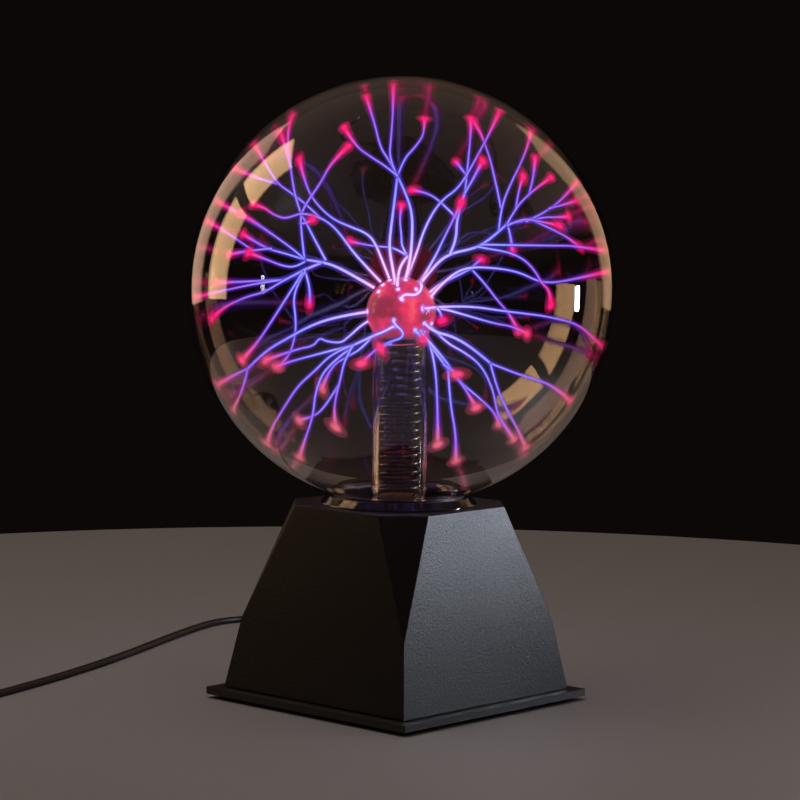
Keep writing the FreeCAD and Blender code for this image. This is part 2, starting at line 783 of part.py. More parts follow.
# ---------------------------------------------------------------------------------------------
# Rear panel pieces, each in the panel's own frame: outer surface at Z 0, inner at -casing_wall
# ---------------------------------------------------------------------------------------------
def power_jack():
    tail = "-(casing_wall + 13)"
    floor = "-9.4"
    body = turned([[("0", tail), ("4.4", tail), ("4.4", "-(casing_wall + 5)"),
                    ("jack_radius", "-(casing_wall + 5)"), ("jack_radius", "0"), ("jack_radius + 1.2", "0"),
                    ("jack_radius + 1.2", "jack_flange - 0.3"), ("jack_radius + 0.9", "jack_flange"),
                    ("jack_bore_radius", "jack_flange"), ("jack_bore_radius", floor),
                    ("jack_pin_radius", floor), ("jack_pin_radius", "-1.2"), ("jack_pin_radius - 0.5", "-0.6"),
                    ("0", "-0.6")]])
    tags = [centred_box(x, "0", tail + " - 4", "0.5", "2.4", "4") for x in (-2, 2)]
    finished(fuse(body, *tags), "power_jack", JACK_SEAT)


def jack_nut():
    low = "-(casing_wall + 2.2)"
    nut = cut(hexagon("13.8", "2.2", low), cylinder("jack_radius + 0.05", "4", 0, 0, low + " - 1"))
    finished(nut, "jack_nut", JACK_SEAT)


def plug_barrel():
    back = "jack_flange + 0.3"
    body = turned([rectangle("plug_bore_radius", "plug_barrel_radius", "-8.2", back)])
    finished(body, "plug_barrel", JACK_SEAT)


def plug_body():
    """The moulded grip of the plug and its tapered strain relief."""
    front = "jack_flange + 0.3"
    body = turned([[("0", front), ("plug_radius - 0.6", front), ("plug_radius", front + " + 0.7"),
                    ("plug_radius", "19"), ("plug_radius - 1", "22"), ("cord_diameter / 2 + 1.6", "23"),
                    ("cord_diameter / 2 + 0.6", "plug_length"), ("0", "plug_length")]])
    finished(body, "plug_body", JACK_SEAT)


def switch_body():
    """The slide switch's frame plate and its box, open towards the panel for the slider."""
    plate = centred_box("0", "0", "-(casing_wall + 1)", "26", "8", "1")
    case = centred_box("0", "0", "-(casing_wall + 8)", "17", "8", "7")
    cavity = centred_box("0", "0", "-(casing_wall + 3.7)", "8 + 2 * switch_travel + 1", "5", "4")
    holes = [cylinder("1.0", "3", x, 0, "-(casing_wall + 2)") for x in (-10.5, 10.5)]
    tags = [centred_box(x, "0", "-(casing_wall + 11.5)", "0.5", "1.6", "3.5") for x in (-5, 0, 5)]
    finished(cut(fuse(plate, case, *tags), cavity, *holes), "switch_body", SWITCH_SEAT)


def switch_slider():
    """The moving tongue: a foot in the switch's box and a ridged tip outside the panel."""
    foot = centred_box("0", "0", "-(casing_wall + 3.3)", "8", "4.4", "2.2")
    neck = centred_box("0", "0", "-(casing_wall + 1.1)", "slider_length", "slider_width", "casing_wall + 3.7")
    ridges = [centred_box(x, "0", "2.2", "0.5", "slider_width + 1", "1") for x in (-1.1, 0, 1.1)]
    finished(cut(fuse(foot, neck), *ridges), "switch_slider", SWITCH_SEAT)


def switch_screws():
    screws = []
    for x in (-10.5, 10.5):
        screws.append(fuse(cylinder("1.9", "1.1", x, 0, "0"),
                           cylinder("0.95", "casing_wall + 2", x, 0, "-(casing_wall + 2)")))
    finished(group(*screws), "switch_screws", SWITCH_SEAT)


def level_control():
    """The rotary control behind the panel, its panel nut, its shaft and the knob outside."""
    back = "-(casing_wall + 6)"
    case = fuse(cylinder("8", "6", 0, 0, back), cylinder("bush_radius", "casing_wall + 3.5", 0, 0, "-casing_wall"))
    tags = [centred_box(x, "9", "-(casing_wall + 5)", "0.8", "5", "0.6") for x in (-3, 0, 3)]
    bore = cylinder("shaft_radius + running_gap", "20", 0, 0, "-(casing_wall + 4.3)")
    finished(cut(fuse(case, *tags), bore), "control_body", KNOB_SEAT)
    nut = cut(hexagon("2 * bush_radius + 4", "2", "0"), cylinder("bush_radius + 0.05", "4", 0, 0, "-1"))
    finished(nut, "control_nut", KNOB_SEAT)
    shaft = cylinder("shaft_radius", "knob_height + casing_wall + 2", 0, 0, "-(casing_wall + 4)")
    finished(group(shaft), "control_shaft", KNOB_SEAT)


def level_knob():
    """The fluted knob, hollow below to clear the nut, with a pointer line cut in its top."""
    low = "1"
    body = turned([[("knob_radius - 1.2", low), ("knob_radius", low), ("knob_radius - 0.6", "knob_height + 1"),
                    ("0", "knob_height + 1"), ("0", "knob_height - 1.9"),
                    ("shaft_radius + 0.05", "knob_height - 1.9"), ("shaft_radius + 0.05", "4"),
                    ("knob_radius - 1.2", "4")]])
    flute = pocket(body, [], low + " - 1", "knob_height + 3", [("knob_radius + 0.6", "0", "1.1")])
    repeated_round(body, flute, 18)
    pointer = centred_box("0", "-knob_radius / 2", "knob_height + 0.4", "1", "knob_radius", "2")
    finished(cut(body, pointer), "level_knob", KNOB_SEAT)


def microphone():
    low = "-(casing_wall + 5)"
    capsule = turned([[("0", low), ("microphone_radius", low), ("microphone_radius", "-(casing_wall + 0.4)"),
                       ("0", "-(casing_wall + 0.4)")]])
    finished(capsule, "microphone", MICROPHONE_SEAT)
    sleeve = turned([rectangle("microphone_radius + 0.1", "microphone_radius + 1.7", low, "-casing_wall")])
    finished(sleeve, "microphone_sleeve", MICROPHONE_SEAT)


# ---------------------------------------------------------------------------------------------
# Wires and the power lead: round tubes along straight runs joined by tangent arcs
# ---------------------------------------------------------------------------------------------
def rounded_path(points):
    """A wire through the points, each corner rounded as far as its two runs allow."""
    edges = []
    radii = []
    start = points[0]
    for before, corner, after in zip(points, points[1:], points[2:]):
        back = (before - corner).normalize()
        ahead = (after - corner).normalize()
        reach = 0.45 * min((before - corner).Length, (after - corner).Length)
        turn = math.pi - back.getAngle(ahead)
        radius = reach / math.tan(turn / 2)
        bisector = (back + ahead).normalize()
        centre_distance = radius / math.cos(turn / 2)
        entry = corner + back * reach
        leaving = corner + ahead * reach
        middle = corner + bisector * (centre_distance - radius)
        edges.append(Part.LineSegment(start, entry).toShape())
        edges.append(Part.Arc(entry, middle, leaving).toShape())
        radii.append(radius)
        start = leaving
    edges.append(Part.LineSegment(start, points[-1]).toShape())
    return Part.Wire(edges), radii


def tube_along(points, diameter):
    """A round tube along the rounded path, checked against its section times its length."""
    path, radii = rounded_path(points)
    start = points[0]
    direction = points[1] - points[0]
    section = Part.Wire([Part.Circle(start, direction, diameter / 2).toShape()])
    shape = path.makePipeShell([section], True, True)
    expected = math.pi * diameter * diameter / 4 * path.Length
    if abs(shape.Volume - expected) > 0.02 * expected:
        raise ValueError("a tube's volume is %.1f, not %.1f" % (shape.Volume, expected))
    return shape, path.Length, radii


def tube_part(label, *routes, diameter):
    """One or more tubes as one node."""
    shapes = []
    for route in routes:
        shape, length, radii = tube_along(route, diameter)
        shapes.append(shape)
        print("%s: %.0f mm long, bends of %.0f mm and more" % (label, length, min(radii)))
    thing = doc.addObject("Part::Feature", "Tube")
    thing.Shape = shapes[0] if len(shapes) == 1 else Part.makeCompound(shapes)
    finished(thing, label, Placement())


def panel_wires(label, seat, starts, landing_x):
    """Thin wires from a panel piece's tags down to the board's rear edge."""
    routes = []
    inwards = seat.Rotation.multVec(Vector(0, 0, -1))
    landing_y = value("board_rear") - 3
    board_top = value("board_top")
    for index, start in enumerate(starts):
        begin = seat.multVec(start)
        land = Vector(landing_x + 3 * index, landing_y, board_top)
        routes.append([begin, begin + inwards * 5, land + Vector(0, 0, 8), land])
    tube_part(label, *routes, diameter=1.4)


def inner_wires():
    wall = value("casing_wall")
    panel_wires("jack_wires", JACK_SEAT, [Vector(-2, 0, -wall - 17), Vector(2, 0, -wall - 17)], -25)
    panel_wires("switch_wires", SWITCH_SEAT, [Vector(x, 0, -wall - 11.5) for x in (-5, 0, 5)], -4)
    panel_wires("control_wires", KNOB_SEAT, [Vector(x, 0, -wall - 6) for x in (-4, 0, 4)], 23)
    panel_wires("microphone_wires", MICROPHONE_SEAT, [Vector(x, 0, -wall - 5) for x in (-1.5, 1.5)], 9)


def high_voltage_lead():
    """The thick silicone lead from the winding up the middle into the bung."""
    winding_x = value("flyback_x")
    board_top = value("board_top")
    flare = value("flare_bottom")
    stud_low = value("stopper_high - terminal_stud_length")
    half_way = winding_x / 2
    route = [Vector(winding_x, 1.6, board_top + 16), Vector(winding_x, 12, board_top + 16),
             Vector(half_way - 3, 16, board_top + 32), Vector(half_way / 3, 6, flare - 13),
             Vector(0, 0, flare - 2), Vector(0, 0, stud_low)]
    tube_part("high_voltage_lead", route, diameter=2 * value("lead_radius"))


# The power lead from the plug's strain relief: off the plug, down to the table behind the base, round
# its left and forward. Points from the third on lie where they are whatever the base measures.
CORD_DESCENT = [(-23.5, 120.0, 27.5), (-28.0, 136.0, 18.5), (-37.0, 150.0, 7.5)]
CORD_ON_TABLE = [(-53.0, 161.0), (-76.0, 170.5), (-104.0, 174.5), (-134.0, 170.5), (-162.0, 157.5),
                 (-186.0, 138.0), (-204.0, 113.0), (-213.0, 88.0), (-206.5, 64.0), (-192.0, 28.5),
                 (-176.0, -7.5), (-161.5, -43.0), (-149.0, -78.5), (-139.0, -112.5), (-132.0, -139.5),
                 (-127.0, -162.0)]
COIL_CENTRE = (-150.0, -166.0)
TAIL_OUT_OF_COIL = [(-162.6, -181.5, 12.25), (-174.5, -174.5, 12.5)]
ADAPTER_CENTRE = (-236.4, -121.8)
ADAPTER_TURN = 141.0
RELIEF_HEIGHT = 14.0


def adapter_seat():
    """The adapter's frame: X from its lead end to its far end, Z up, origin under its middle."""
    return Placement(Vector(*ADAPTER_CENTRE, 0), Rotation(Vector(0, 0, 1), ADAPTER_TURN))


def cord_points():
    exit_point = JACK_SEAT.multVec(Vector(0, 0, value("plug_length")))
    outwards = JACK_SEAT.Rotation.multVec(Vector(0, 0, 1))
    rest_height = value("cord_diameter") / 2
    points = [exit_point, exit_point + outwards * 12]
    points += [Vector(*point) for point in CORD_DESCENT]
    points += [Vector(x, y, rest_height) for x, y in CORD_ON_TABLE]
    return points


def power_cord():
    diameter = value("cord_diameter")
    tube_part("cord_run", cord_points(), diameter=diameter)
    inner = "coil_mid_radius - coil_width / 2"
    outer = "coil_mid_radius + coil_width / 2"
    shoulder = "coil_height - 1.35 * cord_diameter"
    coil = turned([[(inner, "1.2"), (inner + " + 1.2", "0"), (outer + " - 1.2", "0"), (outer, "1.2"),
                    (outer, shoulder), (outer + " - cord_diameter", "coil_height"),
                    (inner + " + cord_diameter", "coil_height"), (inner, shoulder)]])
    finished(coil, "cord_coil", Placement(Vector(*COIL_CENTRE, 0), Rotation()))
    tail_end = adapter_seat().multVec(Vector(-value("adapter_length / 2 + relief_length"), 0, RELIEF_HEIGHT))
    back = adapter_seat().Rotation.multVec(Vector(-1, 0, 0))
    tail = [Vector(*point) for point in TAIL_OUT_OF_COIL] + [tail_end + back * 13, tail_end]
    tube_part("cord_tail", tail, diameter=diameter)


def cord_tie():
    """The band that holds the coil's turns together."""
    middle = "coil_mid_radius"
    outer = centred_box("0", middle, "0", "6", "coil_width + 2.6", "coil_height + 0.9")
    inner = centred_box("0", middle, "-1", "8", "coil_width + 1", "coil_height + 1.1")
    tie = cut(outer, inner)
    finished(tie, "cord_tie", Placement(Vector(*COIL_CENTRE, 0), Rotation(Vector(0, 0, 1), -130)))


def wall_adapter():
    """The mains adapter: a moulded case, a strain relief and two flat blades."""
    body = new_body()
    half_length = "adapter_length / 2"
    half_width = "adapter_width / 2"
    pad(body, [rectangle("-" + half_length, half_length, "-" + half_width, half_width)], "0", "adapter_height")
    dress(body, "Fillet", "5", lambda edge: abs(edge.tangentAt(edge.FirstParameter).z) > 0.99)
    top = value("adapter_height")
    dress(body, "Fillet", "2", lambda edge: all(abs(v.Z - top) < 0.01 for v in edge.Vertexes))
    finished(body, "adapter_case", adapter_seat())
    relief = turned([[("0", "0"), ("cord_diameter / 2 + 2.4", "0"), ("cord_diameter / 2 + 2.4", "2"),
                      ("cord_diameter / 2 + 0.6", "relief_length"), ("0", "relief_length")]])
    lead_end = Placement(Vector(-value(half_length), 0, RELIEF_HEIGHT), Rotation(Vector(0, 1, 0), -90))
    finished(relief, "adapter_relief", adapter_seat().multiply(lead_end))
    blades = [centred_box("10", y, "adapter_height", "1.5", "6.3", "16") for y in (-6.35, 6.35)]
    finished(group(*blades), "adapter_blades", adapter_seat())


def build():
    for make in (glass_globe, electrode_stem, exhaust_pip, electrode_wool, contact_spring, spring_terminal,
                 stem_stopper, globe_collar, globe_seal, collar_nut, base_shell, bottom_plate, base_screws,
                 rubber_feet, circuit_board, board_screws, flyback, heat_sink, power_transistor,
                 transistor_screw, capacitors, control_chip, choke, resistors, power_jack, jack_nut,
                 plug_barrel, plug_body, switch_body, switch_slider, switch_screws, level_control, level_knob,
                 microphone, inner_wires, high_voltage_lead, power_cord, cord_tie, wall_adapter):
        make()
    doc.recompute()


def write_parts():
    """Check every object and write each sub-part's solids to its own file."""
    for thing in doc.Objects:
        if any(state in ("Invalid", "Error") for state in thing.State):
            raise ValueError("%s is in state %s" % (thing.Name, thing.State))
    for thing in sub_parts:
        shape = thing.Shape
        if shape.isNull() or not shape.isValid() or not shape.Solids:
            raise ValueError("%s has no valid solid" % thing.Label)
    os.makedirs("parts", exist_ok=True)
    for thing in sub_parts:
        thing.Shape.exportStep("parts/%s.step" % thing.Label)
    print("%d sub-parts written" % len(sub_parts))


build()
write_parts()
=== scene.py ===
# %% [markdown]
# # A plasma ball
# A large glass globe stands on a black pyramid. Inside it a wool-filled electrode throws violet
# streamers at the glass. The measured frame is loaded first, so that every new piece can be put
# where the frame says.

import math
import random

import bmesh
import bpy
from mathutils import Matrix, Vector, noise


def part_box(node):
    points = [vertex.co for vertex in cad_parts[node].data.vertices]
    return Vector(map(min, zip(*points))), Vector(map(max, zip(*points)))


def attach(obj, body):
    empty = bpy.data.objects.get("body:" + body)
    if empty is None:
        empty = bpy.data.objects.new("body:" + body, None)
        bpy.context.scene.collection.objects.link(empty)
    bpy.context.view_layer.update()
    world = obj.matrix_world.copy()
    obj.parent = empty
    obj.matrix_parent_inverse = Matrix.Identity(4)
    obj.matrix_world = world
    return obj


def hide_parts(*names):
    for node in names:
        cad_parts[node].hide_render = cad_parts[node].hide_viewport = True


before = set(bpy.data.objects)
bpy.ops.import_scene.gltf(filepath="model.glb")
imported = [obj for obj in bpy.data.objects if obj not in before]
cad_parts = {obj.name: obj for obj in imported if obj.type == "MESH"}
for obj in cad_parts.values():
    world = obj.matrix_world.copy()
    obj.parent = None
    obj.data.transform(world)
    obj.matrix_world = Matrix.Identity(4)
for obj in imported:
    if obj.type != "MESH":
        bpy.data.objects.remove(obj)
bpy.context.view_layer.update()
MM = 0.001

# %% [markdown]
# Where things are comes from the frame's own nodes, so nothing is measured twice. `low` and
# `high` give the two corners of a node's box, in millimetres, which are easier to read than
# metres. The centres of the globe and the electrode are used by many later cells. `placed` is the
# one way anything gets into the scene: Blender keeps an object apart from the data it shows.

# %% Places read from the frame
def low(node):
    """The lowest corner of a node's box, in millimetres."""
    return [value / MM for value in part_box(node)[0]]


def high(node):
    """The highest corner of a node's box, in millimetres."""
    return [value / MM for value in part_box(node)[1]]


def placed(name, data):
    """A new object in the scene that shows some data: a mesh, a curve, a lamp or a camera."""
    item = bpy.data.objects.new(name, data)
    bpy.context.collection.objects.link(item)
    return item


GLOBE_RADIUS = high("glass_globe")[0]
GLOBE_CENTRE = high("glass_globe")[2] - GLOBE_RADIUS
GLOBE_WALL = 2.0
NECK_RADIUS = 29.0
NECK_LOW = low("glass_globe")[2]
BULB_RADIUS = 16.2
BULB_CENTRE = high("electrode_stem")[2] - BULB_RADIUS
globe_middle = Vector((0, 0, GLOBE_CENTRE))
bulb_middle = Vector((0, 0, BULB_CENTRE))
STEM_RADIUS = 13.35
STEM_WALL = 1.6
print("globe centre", GLOBE_CENTRE, "electrode centre", BULB_CENTRE)

# %% [markdown]
# The camera stands low and to one corner, so the base shows two faces and its front edge. A long
# lens keeps the globe round. The roll of less than a degree is what a camera held by hand has.

# %% Camera
VIEW_TURN = math.radians(42.58)
VIEW_TILT = math.radians(84.91)
VIEW_ROLL = math.radians(0.77)
camera_data = bpy.data.cameras.new("camera")
camera_data.lens = 129.4
camera_data.sensor_width = 36.0
camera = placed("camera", camera_data)
camera.location = (0.9222, -1.0037, 0.2654)
camera.rotation_euler = (VIEW_TILT, 0.0, VIEW_TURN)
camera.rotation_euler.rotate_axis("Z", VIEW_ROLL)
bpy.context.scene.camera = camera
print("camera distance:", round(camera.location.length, 3), "m")

# %% [markdown]
# The supply lead is 1.5 m of thin round cable. It leaves the plug at the back, falls to the table
# and wanders off, and the rest is wound into a flat coil beside its adapter. The free stretch is a
# list of given points, and the coil's four layers are worked out by a loop.

# %% Points of the lead
CORD_DIAMETER = 3.5
LEAD_EXIT = Vector((-22.0, 93.054, 28.322))
PANEL_NORMAL = Vector((0.0, 0.98606, 0.16638))
LEAD_DESCENT = [(-23.5, 120.0, 27.5), (-28.0, 136.0, 18.5), (-37.0, 150.0, 7.5)]
LEAD_ON_TABLE = [(-53.0, 161.0), (-76.0, 170.5), (-104.0, 174.5), (-134.0, 170.5), (-162.0, 157.5),
                 (-186.0, 138.0), (-204.0, 113.0), (-213.0, 88.0), (-206.5, 64.0), (-192.0, 28.5),
                 (-176.0, -7.5), (-161.5, -43.0), (-149.0, -78.5), (-139.0, -112.5), (-132.0, -139.5),
                 (-127.0, -162.0)]
COIL_CENTRE = (-150.0, -166.0)
COIL_OUTER = 23.5
COIL_LAYERS = ((16.5, 720.0), (COIL_OUTER, 720.0), (16.5, 720.0), (20.0, 321.5))
COIL_START, COIL_STEP, COIL_CLIMB = 12.5, 22.5, 60.0
LEAD_TAIL = [(-162.6, -181.5, 12.25), (-174.5, -174.5, 12.5), (-187.44, -161.45, 14.0),
             (-197.54, -153.27, 14.0)]


def coil_points():
    """The coil's turns: layers of (radius to reach, sweep), with a short climb between them."""
    points = []

    def add(radius, degrees, height):
        turn = math.radians(degrees)
        points.append((COIL_CENTRE[0] + radius * math.cos(turn),
                       COIL_CENTRE[1] + radius * math.sin(turn), height))

    radius, angle, height = COIL_OUTER, COIL_START, CORD_DIAMETER / 2
    for layer, (aim, sweep) in enumerate(COIL_LAYERS, start=1):
        count = round(sweep / COIL_STEP)
        for index in range(count):
            share = index / count
            add(radius + (aim - radius) * share, angle - sweep * share, height)
        angle -= sweep
        radius = aim
        if layer < len(COIL_LAYERS):
            for share in (0.0, 0.5):
                add(radius, angle - COIL_CLIMB * share, height + CORD_DIAMETER * share)
            angle -= COIL_CLIMB
            height += CORD_DIAMETER
    return points


lead_points = [LEAD_EXIT, LEAD_EXIT + 12 * PANEL_NORMAL] + LEAD_DESCENT
lead_points += [(x, y, CORD_DIAMETER / 2) for x, y in LEAD_ON_TABLE]
lead_points += coil_points() + LEAD_TAIL
print("points along the lead:", len(lead_points))

# %% [markdown]
# One curve with a round bevel draws the lead, so its thickness is a single number and its path can
# be changed point by point. The two helpers are used again for the discharge.

# %% Make the lead
def round_curve(name, thickness, roundness):
    """An empty curve whose lines will be drawn as round tubes with closed ends."""
    curve = bpy.data.curves.new(name, "CURVE")
    curve.dimensions = "3D"
    curve.bevel_depth = thickness
    curve.bevel_resolution = roundness
    curve.resolution_u = 6
    curve.use_fill_caps = True
    return curve


def add_line(curve, points, radii):
    """Add one smooth line through points in millimetres, with a radius factor for each."""
    spline = curve.splines.new("NURBS")
    spline.points.add(len(points) - 1)
    for knot, point, radius in zip(spline.points, points, radii):
        knot.co = (*(Vector(point) * MM), 1.0)
        knot.radius = radius
    spline.order_u = 3
    spline.use_endpoint_u = True


lead_curve = round_curve("supply_lead", CORD_DIAMETER / 2, 4)
add_line(lead_curve, lead_points, [MM] * len(lead_points))
lead = placed("supply_lead", lead_curve)
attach(lead, "base")
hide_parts("cord_run", "cord_coil", "cord_tail")
coil_sweep = sum(sweep for _, sweep in COIL_LAYERS) + COIL_CLIMB * (len(COIL_LAYERS) - 1)
print("turns in the coil: about", round(coil_sweep / 360, 1))

# %% [markdown]
# A pale round table-top carries the ball. It belongs to the stage, not to the object. The world
# is a dim room, almost black at the horizon and warmer overhead: a colour ramp reads the height
# of each direction. A discharge only glows against something dark.

# %% Table and surroundings
world = bpy.data.worlds.new("dim_room")
bpy.context.scene.world = world
world.use_nodes = True
nodes, links = world.node_tree.nodes, world.node_tree.links
sky = nodes["Background"]
sky_direction = nodes.new("ShaderNodeTexCoord")
sky_height = nodes.new("ShaderNodeSeparateXYZ")
sky_band = nodes.new("ShaderNodeValToRGB")
links.new(sky_direction.outputs["Generated"], sky_height.inputs["Vector"])
links.new(sky_height.outputs["Z"], sky_band.inputs["Fac"])
links.new(sky_band.outputs["Color"], sky.inputs["Color"])
sky_band.color_ramp.elements[0].position = 0.18
sky_band.color_ramp.elements[0].color = (0.05, 0.035, 0.03, 1.0)
sky_band.color_ramp.elements[1].position = 0.45
sky_band.color_ramp.elements[1].color = (1.0, 0.62, 0.46, 1.0)
sky.inputs["Strength"].default_value = 0.07
bpy.context.scene.view_settings.view_transform = "Standard"
bpy.context.scene.cycles.transparent_max_bounces = 32

TABLE_RADIUS = 0.62
table_mesh = bmesh.new()
bmesh.ops.create_circle(table_mesh, cap_ends=True, radius=TABLE_RADIUS, segments=128)
table_data = bpy.data.meshes.new("table_top")
table_mesh.to_mesh(table_data)
table_mesh.free()
table_top = placed("table_top", table_data)
table_paint = bpy.data.materials.new("pale_paint")
table_paint.use_nodes = True
table_shader = table_paint.node_tree.nodes["Principled BSDF"]
table_shader.inputs["Base Color"].default_value = (0.50, 0.49, 0.48, 1.0)
table_shader.inputs["Roughness"].default_value = 0.55
table_data.materials.append(table_paint)
print("table radius", TABLE_RADIUS, "m")

# %% [markdown]
# Six soft boxes of three kinds stand round the ball. A small cool one behind it, on the right,
# skims the right-hand face and shows its grain. A large one overhead fills the table. Four warm
# ones are windows: they light nothing, and only leave their shapes on the glass. Area lights are
# aimed by turning their own -Z axis at a point.

# %% Soft boxes
def soft_box(name, place, width, height, power, colour, aim=(0.0, 0.0, 0.15), kind="window"):
    """A lamp facing a point: a "window" only shows where something mirrors it, a "glint" gives
    surfaces a sheen, and a "fill" lights dull surfaces and is mirrored by nothing."""
    lamp = bpy.data.lights.new(name, "AREA")
    lamp.shape = "RECTANGLE"
    lamp.size = width
    lamp.size_y = height
    lamp.energy = power
    lamp.color = colour
    if kind == "window":
        lamp.use_nodes = True
        nodes, links = lamp.node_tree.nodes, lamp.node_tree.links
        path = nodes.new("ShaderNodeLightPath")
        mirrored = nodes.new("ShaderNodeMath")
        mirrored.operation = "GREATER_THAN"
        mirrored.inputs[1].default_value = 0.5
        links.new(path.outputs["Glossy Depth"], mirrored.inputs[0])
        links.new(mirrored.outputs["Value"], nodes["Emission"].inputs["Strength"])
    stand = placed(name, lamp)
    stand.visible_diffuse = kind == "fill"
    stand.visible_glossy = kind != "fill"
    stand.visible_transmission = kind != "fill"
    stand.location = place
    direction = Vector(aim) - Vector(place)
    stand.rotation_euler = direction.to_track_quat("-Z", "Y").to_euler()
    print(name, "stands", round(direction.length, 2), "m away")


soft_box("cool_lamp", (0.28, 0.31, 0.18), 0.02, 0.06, 1.25, (0.80, 0.86, 1.0),
         aim=(0.05, 0.0, 0.09), kind="glint")
soft_box("overhead", (-0.15, -0.35, 1.5), 0.9, 0.9, 3.7, (1.0, 0.93, 0.86), kind="fill")
soft_box("window_high", (-0.72, -0.27, 0.80), 0.34, 0.34, 1.45, (1.0, 0.60, 0.30))
soft_box("window_low", (-0.97, -0.38, 0.38), 0.34, 0.54, 1.85, (1.0, 0.60, 0.30))
soft_box("warm_left", (-1.29, 0.16, 0.55), 0.40, 1.0, 1.1, (1.0, 0.60, 0.42))
soft_box("warm_right", (-0.07, 1.29, 0.55), 0.40, 1.0, 0.8, (1.0, 0.60, 0.34))

# %% [markdown]
# Every solid piece is finished the same way: its faces are turned outwards, it is made smooth
# except at sharp edges, it gets its material, it is told which body carries it, and the frame node
# it stands for is hidden.

# %% Helpers for finished pieces
def finished(name, mesh, material, body="base", stands_for=None, crease=40.0, outward=True):
    """Turn a bmesh into a named, finished object that rides on a body."""
    bmesh.ops.remove_doubles(mesh, verts=mesh.verts, dist=0.000001)
    if outward:
        bmesh.ops.recalc_face_normals(mesh, faces=mesh.faces)
    data = bpy.data.meshes.new(name)
    mesh.to_mesh(data)
    mesh.free()
    data.shade_smooth()
    data.set_sharp_from_angle(angle=math.radians(crease))
    data.materials.append(material)
    item = placed(name, data)
    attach(item, body)
    if stands_for:
        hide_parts(stands_for)
    print(name, "has", len(data.polygons), "faces")
    return item


def rounded(item, width, segments=3, angle=30.0):
    """Round a piece's sharp edges with a live bevel, and keep its flats flat."""
    bevel = item.modifiers.new("rounded_edges", "BEVEL")
    bevel.width = width * MM
    bevel.segments = segments
    bevel.limit_method = "ANGLE"
    bevel.angle_limit = math.radians(angle)
    bevel.harden_normals = True
    return item


def turned(outline, steps=96):
    """A ring or disc spun once round the Z axis from an outline of (radius, height)."""
    mesh = bmesh.new()
    corners = [mesh.verts.new((radius * MM, 0.0, height * MM)) for radius, height in outline]
    edges = [mesh.edges.new(pair) for pair in zip(corners, corners[1:] + corners[:1])]
    bmesh.ops.spin(mesh, geom=corners + edges, cent=(0, 0, 0), axis=(0, 0, 1), angle=math.tau,
                   steps=steps, use_merge=True)
    return mesh


def moved(mesh, matrix):
    """Move a bmesh that was built about its own origin, given in millimetres."""
    place = matrix.copy()
    place.translation = place.translation * MM
    bmesh.ops.transform(mesh, matrix=place, verts=mesh.verts)
    return mesh

# %% [markdown]
# Most materials start the same way: a Principled shader, the object's own coordinates, and a
# noise. Small helpers add a noise, a ramp that turns it into colours or numbers, and a bump.
# Object coordinates are in metres, so a scale of 1000 gives grains a millimetre apart.

# %% Helpers for finishes
class Finish:
    """A material under construction: its node tree and its main shader."""

    def __init__(self, name):
        self.material = bpy.data.materials.new(name)
        self.material.use_nodes = True
        self.tree = self.material.node_tree
        self.shader = self.tree.nodes["Principled BSDF"]
        self.place = self.node("ShaderNodeTexCoord").outputs["Object"]

    def node(self, kind, **inputs):
        """Add a node; each input is a socket to link or a value to set."""
        made = self.tree.nodes.new(kind)
        for name, value in inputs.items():
            self.feed(made.inputs[name.replace("_", " ")], value)
        return made

    def feed(self, socket, value):
        """Link an output to an input, or set the input to a plain value."""
        if isinstance(value, bpy.types.NodeSocket):
            self.tree.links.new(value, socket)
        else:
            socket.default_value = value

    def worked_out(self, kind, operation, *values):
        """Add a math node of a kind; its values go into its first inputs."""
        made = self.node(kind)
        made.operation = operation
        for socket, value in zip(made.inputs, values):
            self.feed(socket, value)
        return made

    def set(self, **inputs):
        """Set or link inputs of the main shader."""
        for name, value in inputs.items():
            self.feed(self.shader.inputs[name.replace("_", " ")], value)
        return self

    def shine(self, colour, strength, alpha=1.0):
        """Make it shine by itself and mirror nothing; `colour` is fixed or a pattern's output."""
        self.set(Base_Color=(0.0, 0.0, 0.0, 1.0), Roughness=1.0, Specular_IOR_Level=0.0,
                 Emission_Color=colour, Emission_Strength=strength, Alpha=alpha)
        self.material.cycles.emission_sampling = "FRONT"
        return self.material

    def noise(self, size, detail=3.0, stretch=(1.0, 1.0, 1.0)):
        """A noise whose lumps are about `size` millimetres across."""
        mapping = self.node("ShaderNodeMapping", Vector=self.place, Scale=stretch)
        return self.node("ShaderNodeTexNoise", Vector=mapping.outputs["Vector"],
                         Scale=1.0 / (size * MM), Detail=detail).outputs["Fac"]

    def ramp(self, factor, *stops):
        """A colour ramp with stops of (position, grey or colour)."""
        made = self.node("ShaderNodeValToRGB", Fac=factor)
        band = made.color_ramp
        while len(band.elements) < len(stops):
            band.elements.new(0.5)
        for element, (position, tone) in zip(band.elements, stops):
            element.position = position
            element.color = (*((tone,) * 3 if isinstance(tone, float) else tone), 1.0)
        return made.outputs["Color"]

    def bump(self, height, depth, strength=1.0):
        """Raise the surface by a height pattern, `depth` in millimetres."""
        made = self.node("ShaderNodeBump", Height=height, Strength=strength, Distance=depth * MM)
        self.set(Normal=made.outputs["Normal"])
        return self


def moulded(name, dark, light, gloss, grain=0.5, depth=0.03):
    """Moulded plastic or rubber: a slightly uneven colour and gloss under a fine grain."""
    finish = Finish(name)
    broad = finish.noise(14.0)
    fine = finish.noise(grain, detail=4.0)
    finish.set(Base_Color=finish.ramp(fine, (0.3, dark), (0.75, light)),
               Roughness=finish.ramp(broad, (0.3, gloss), (0.7, gloss + 0.08)))
    return finish.bump(fine, depth).material


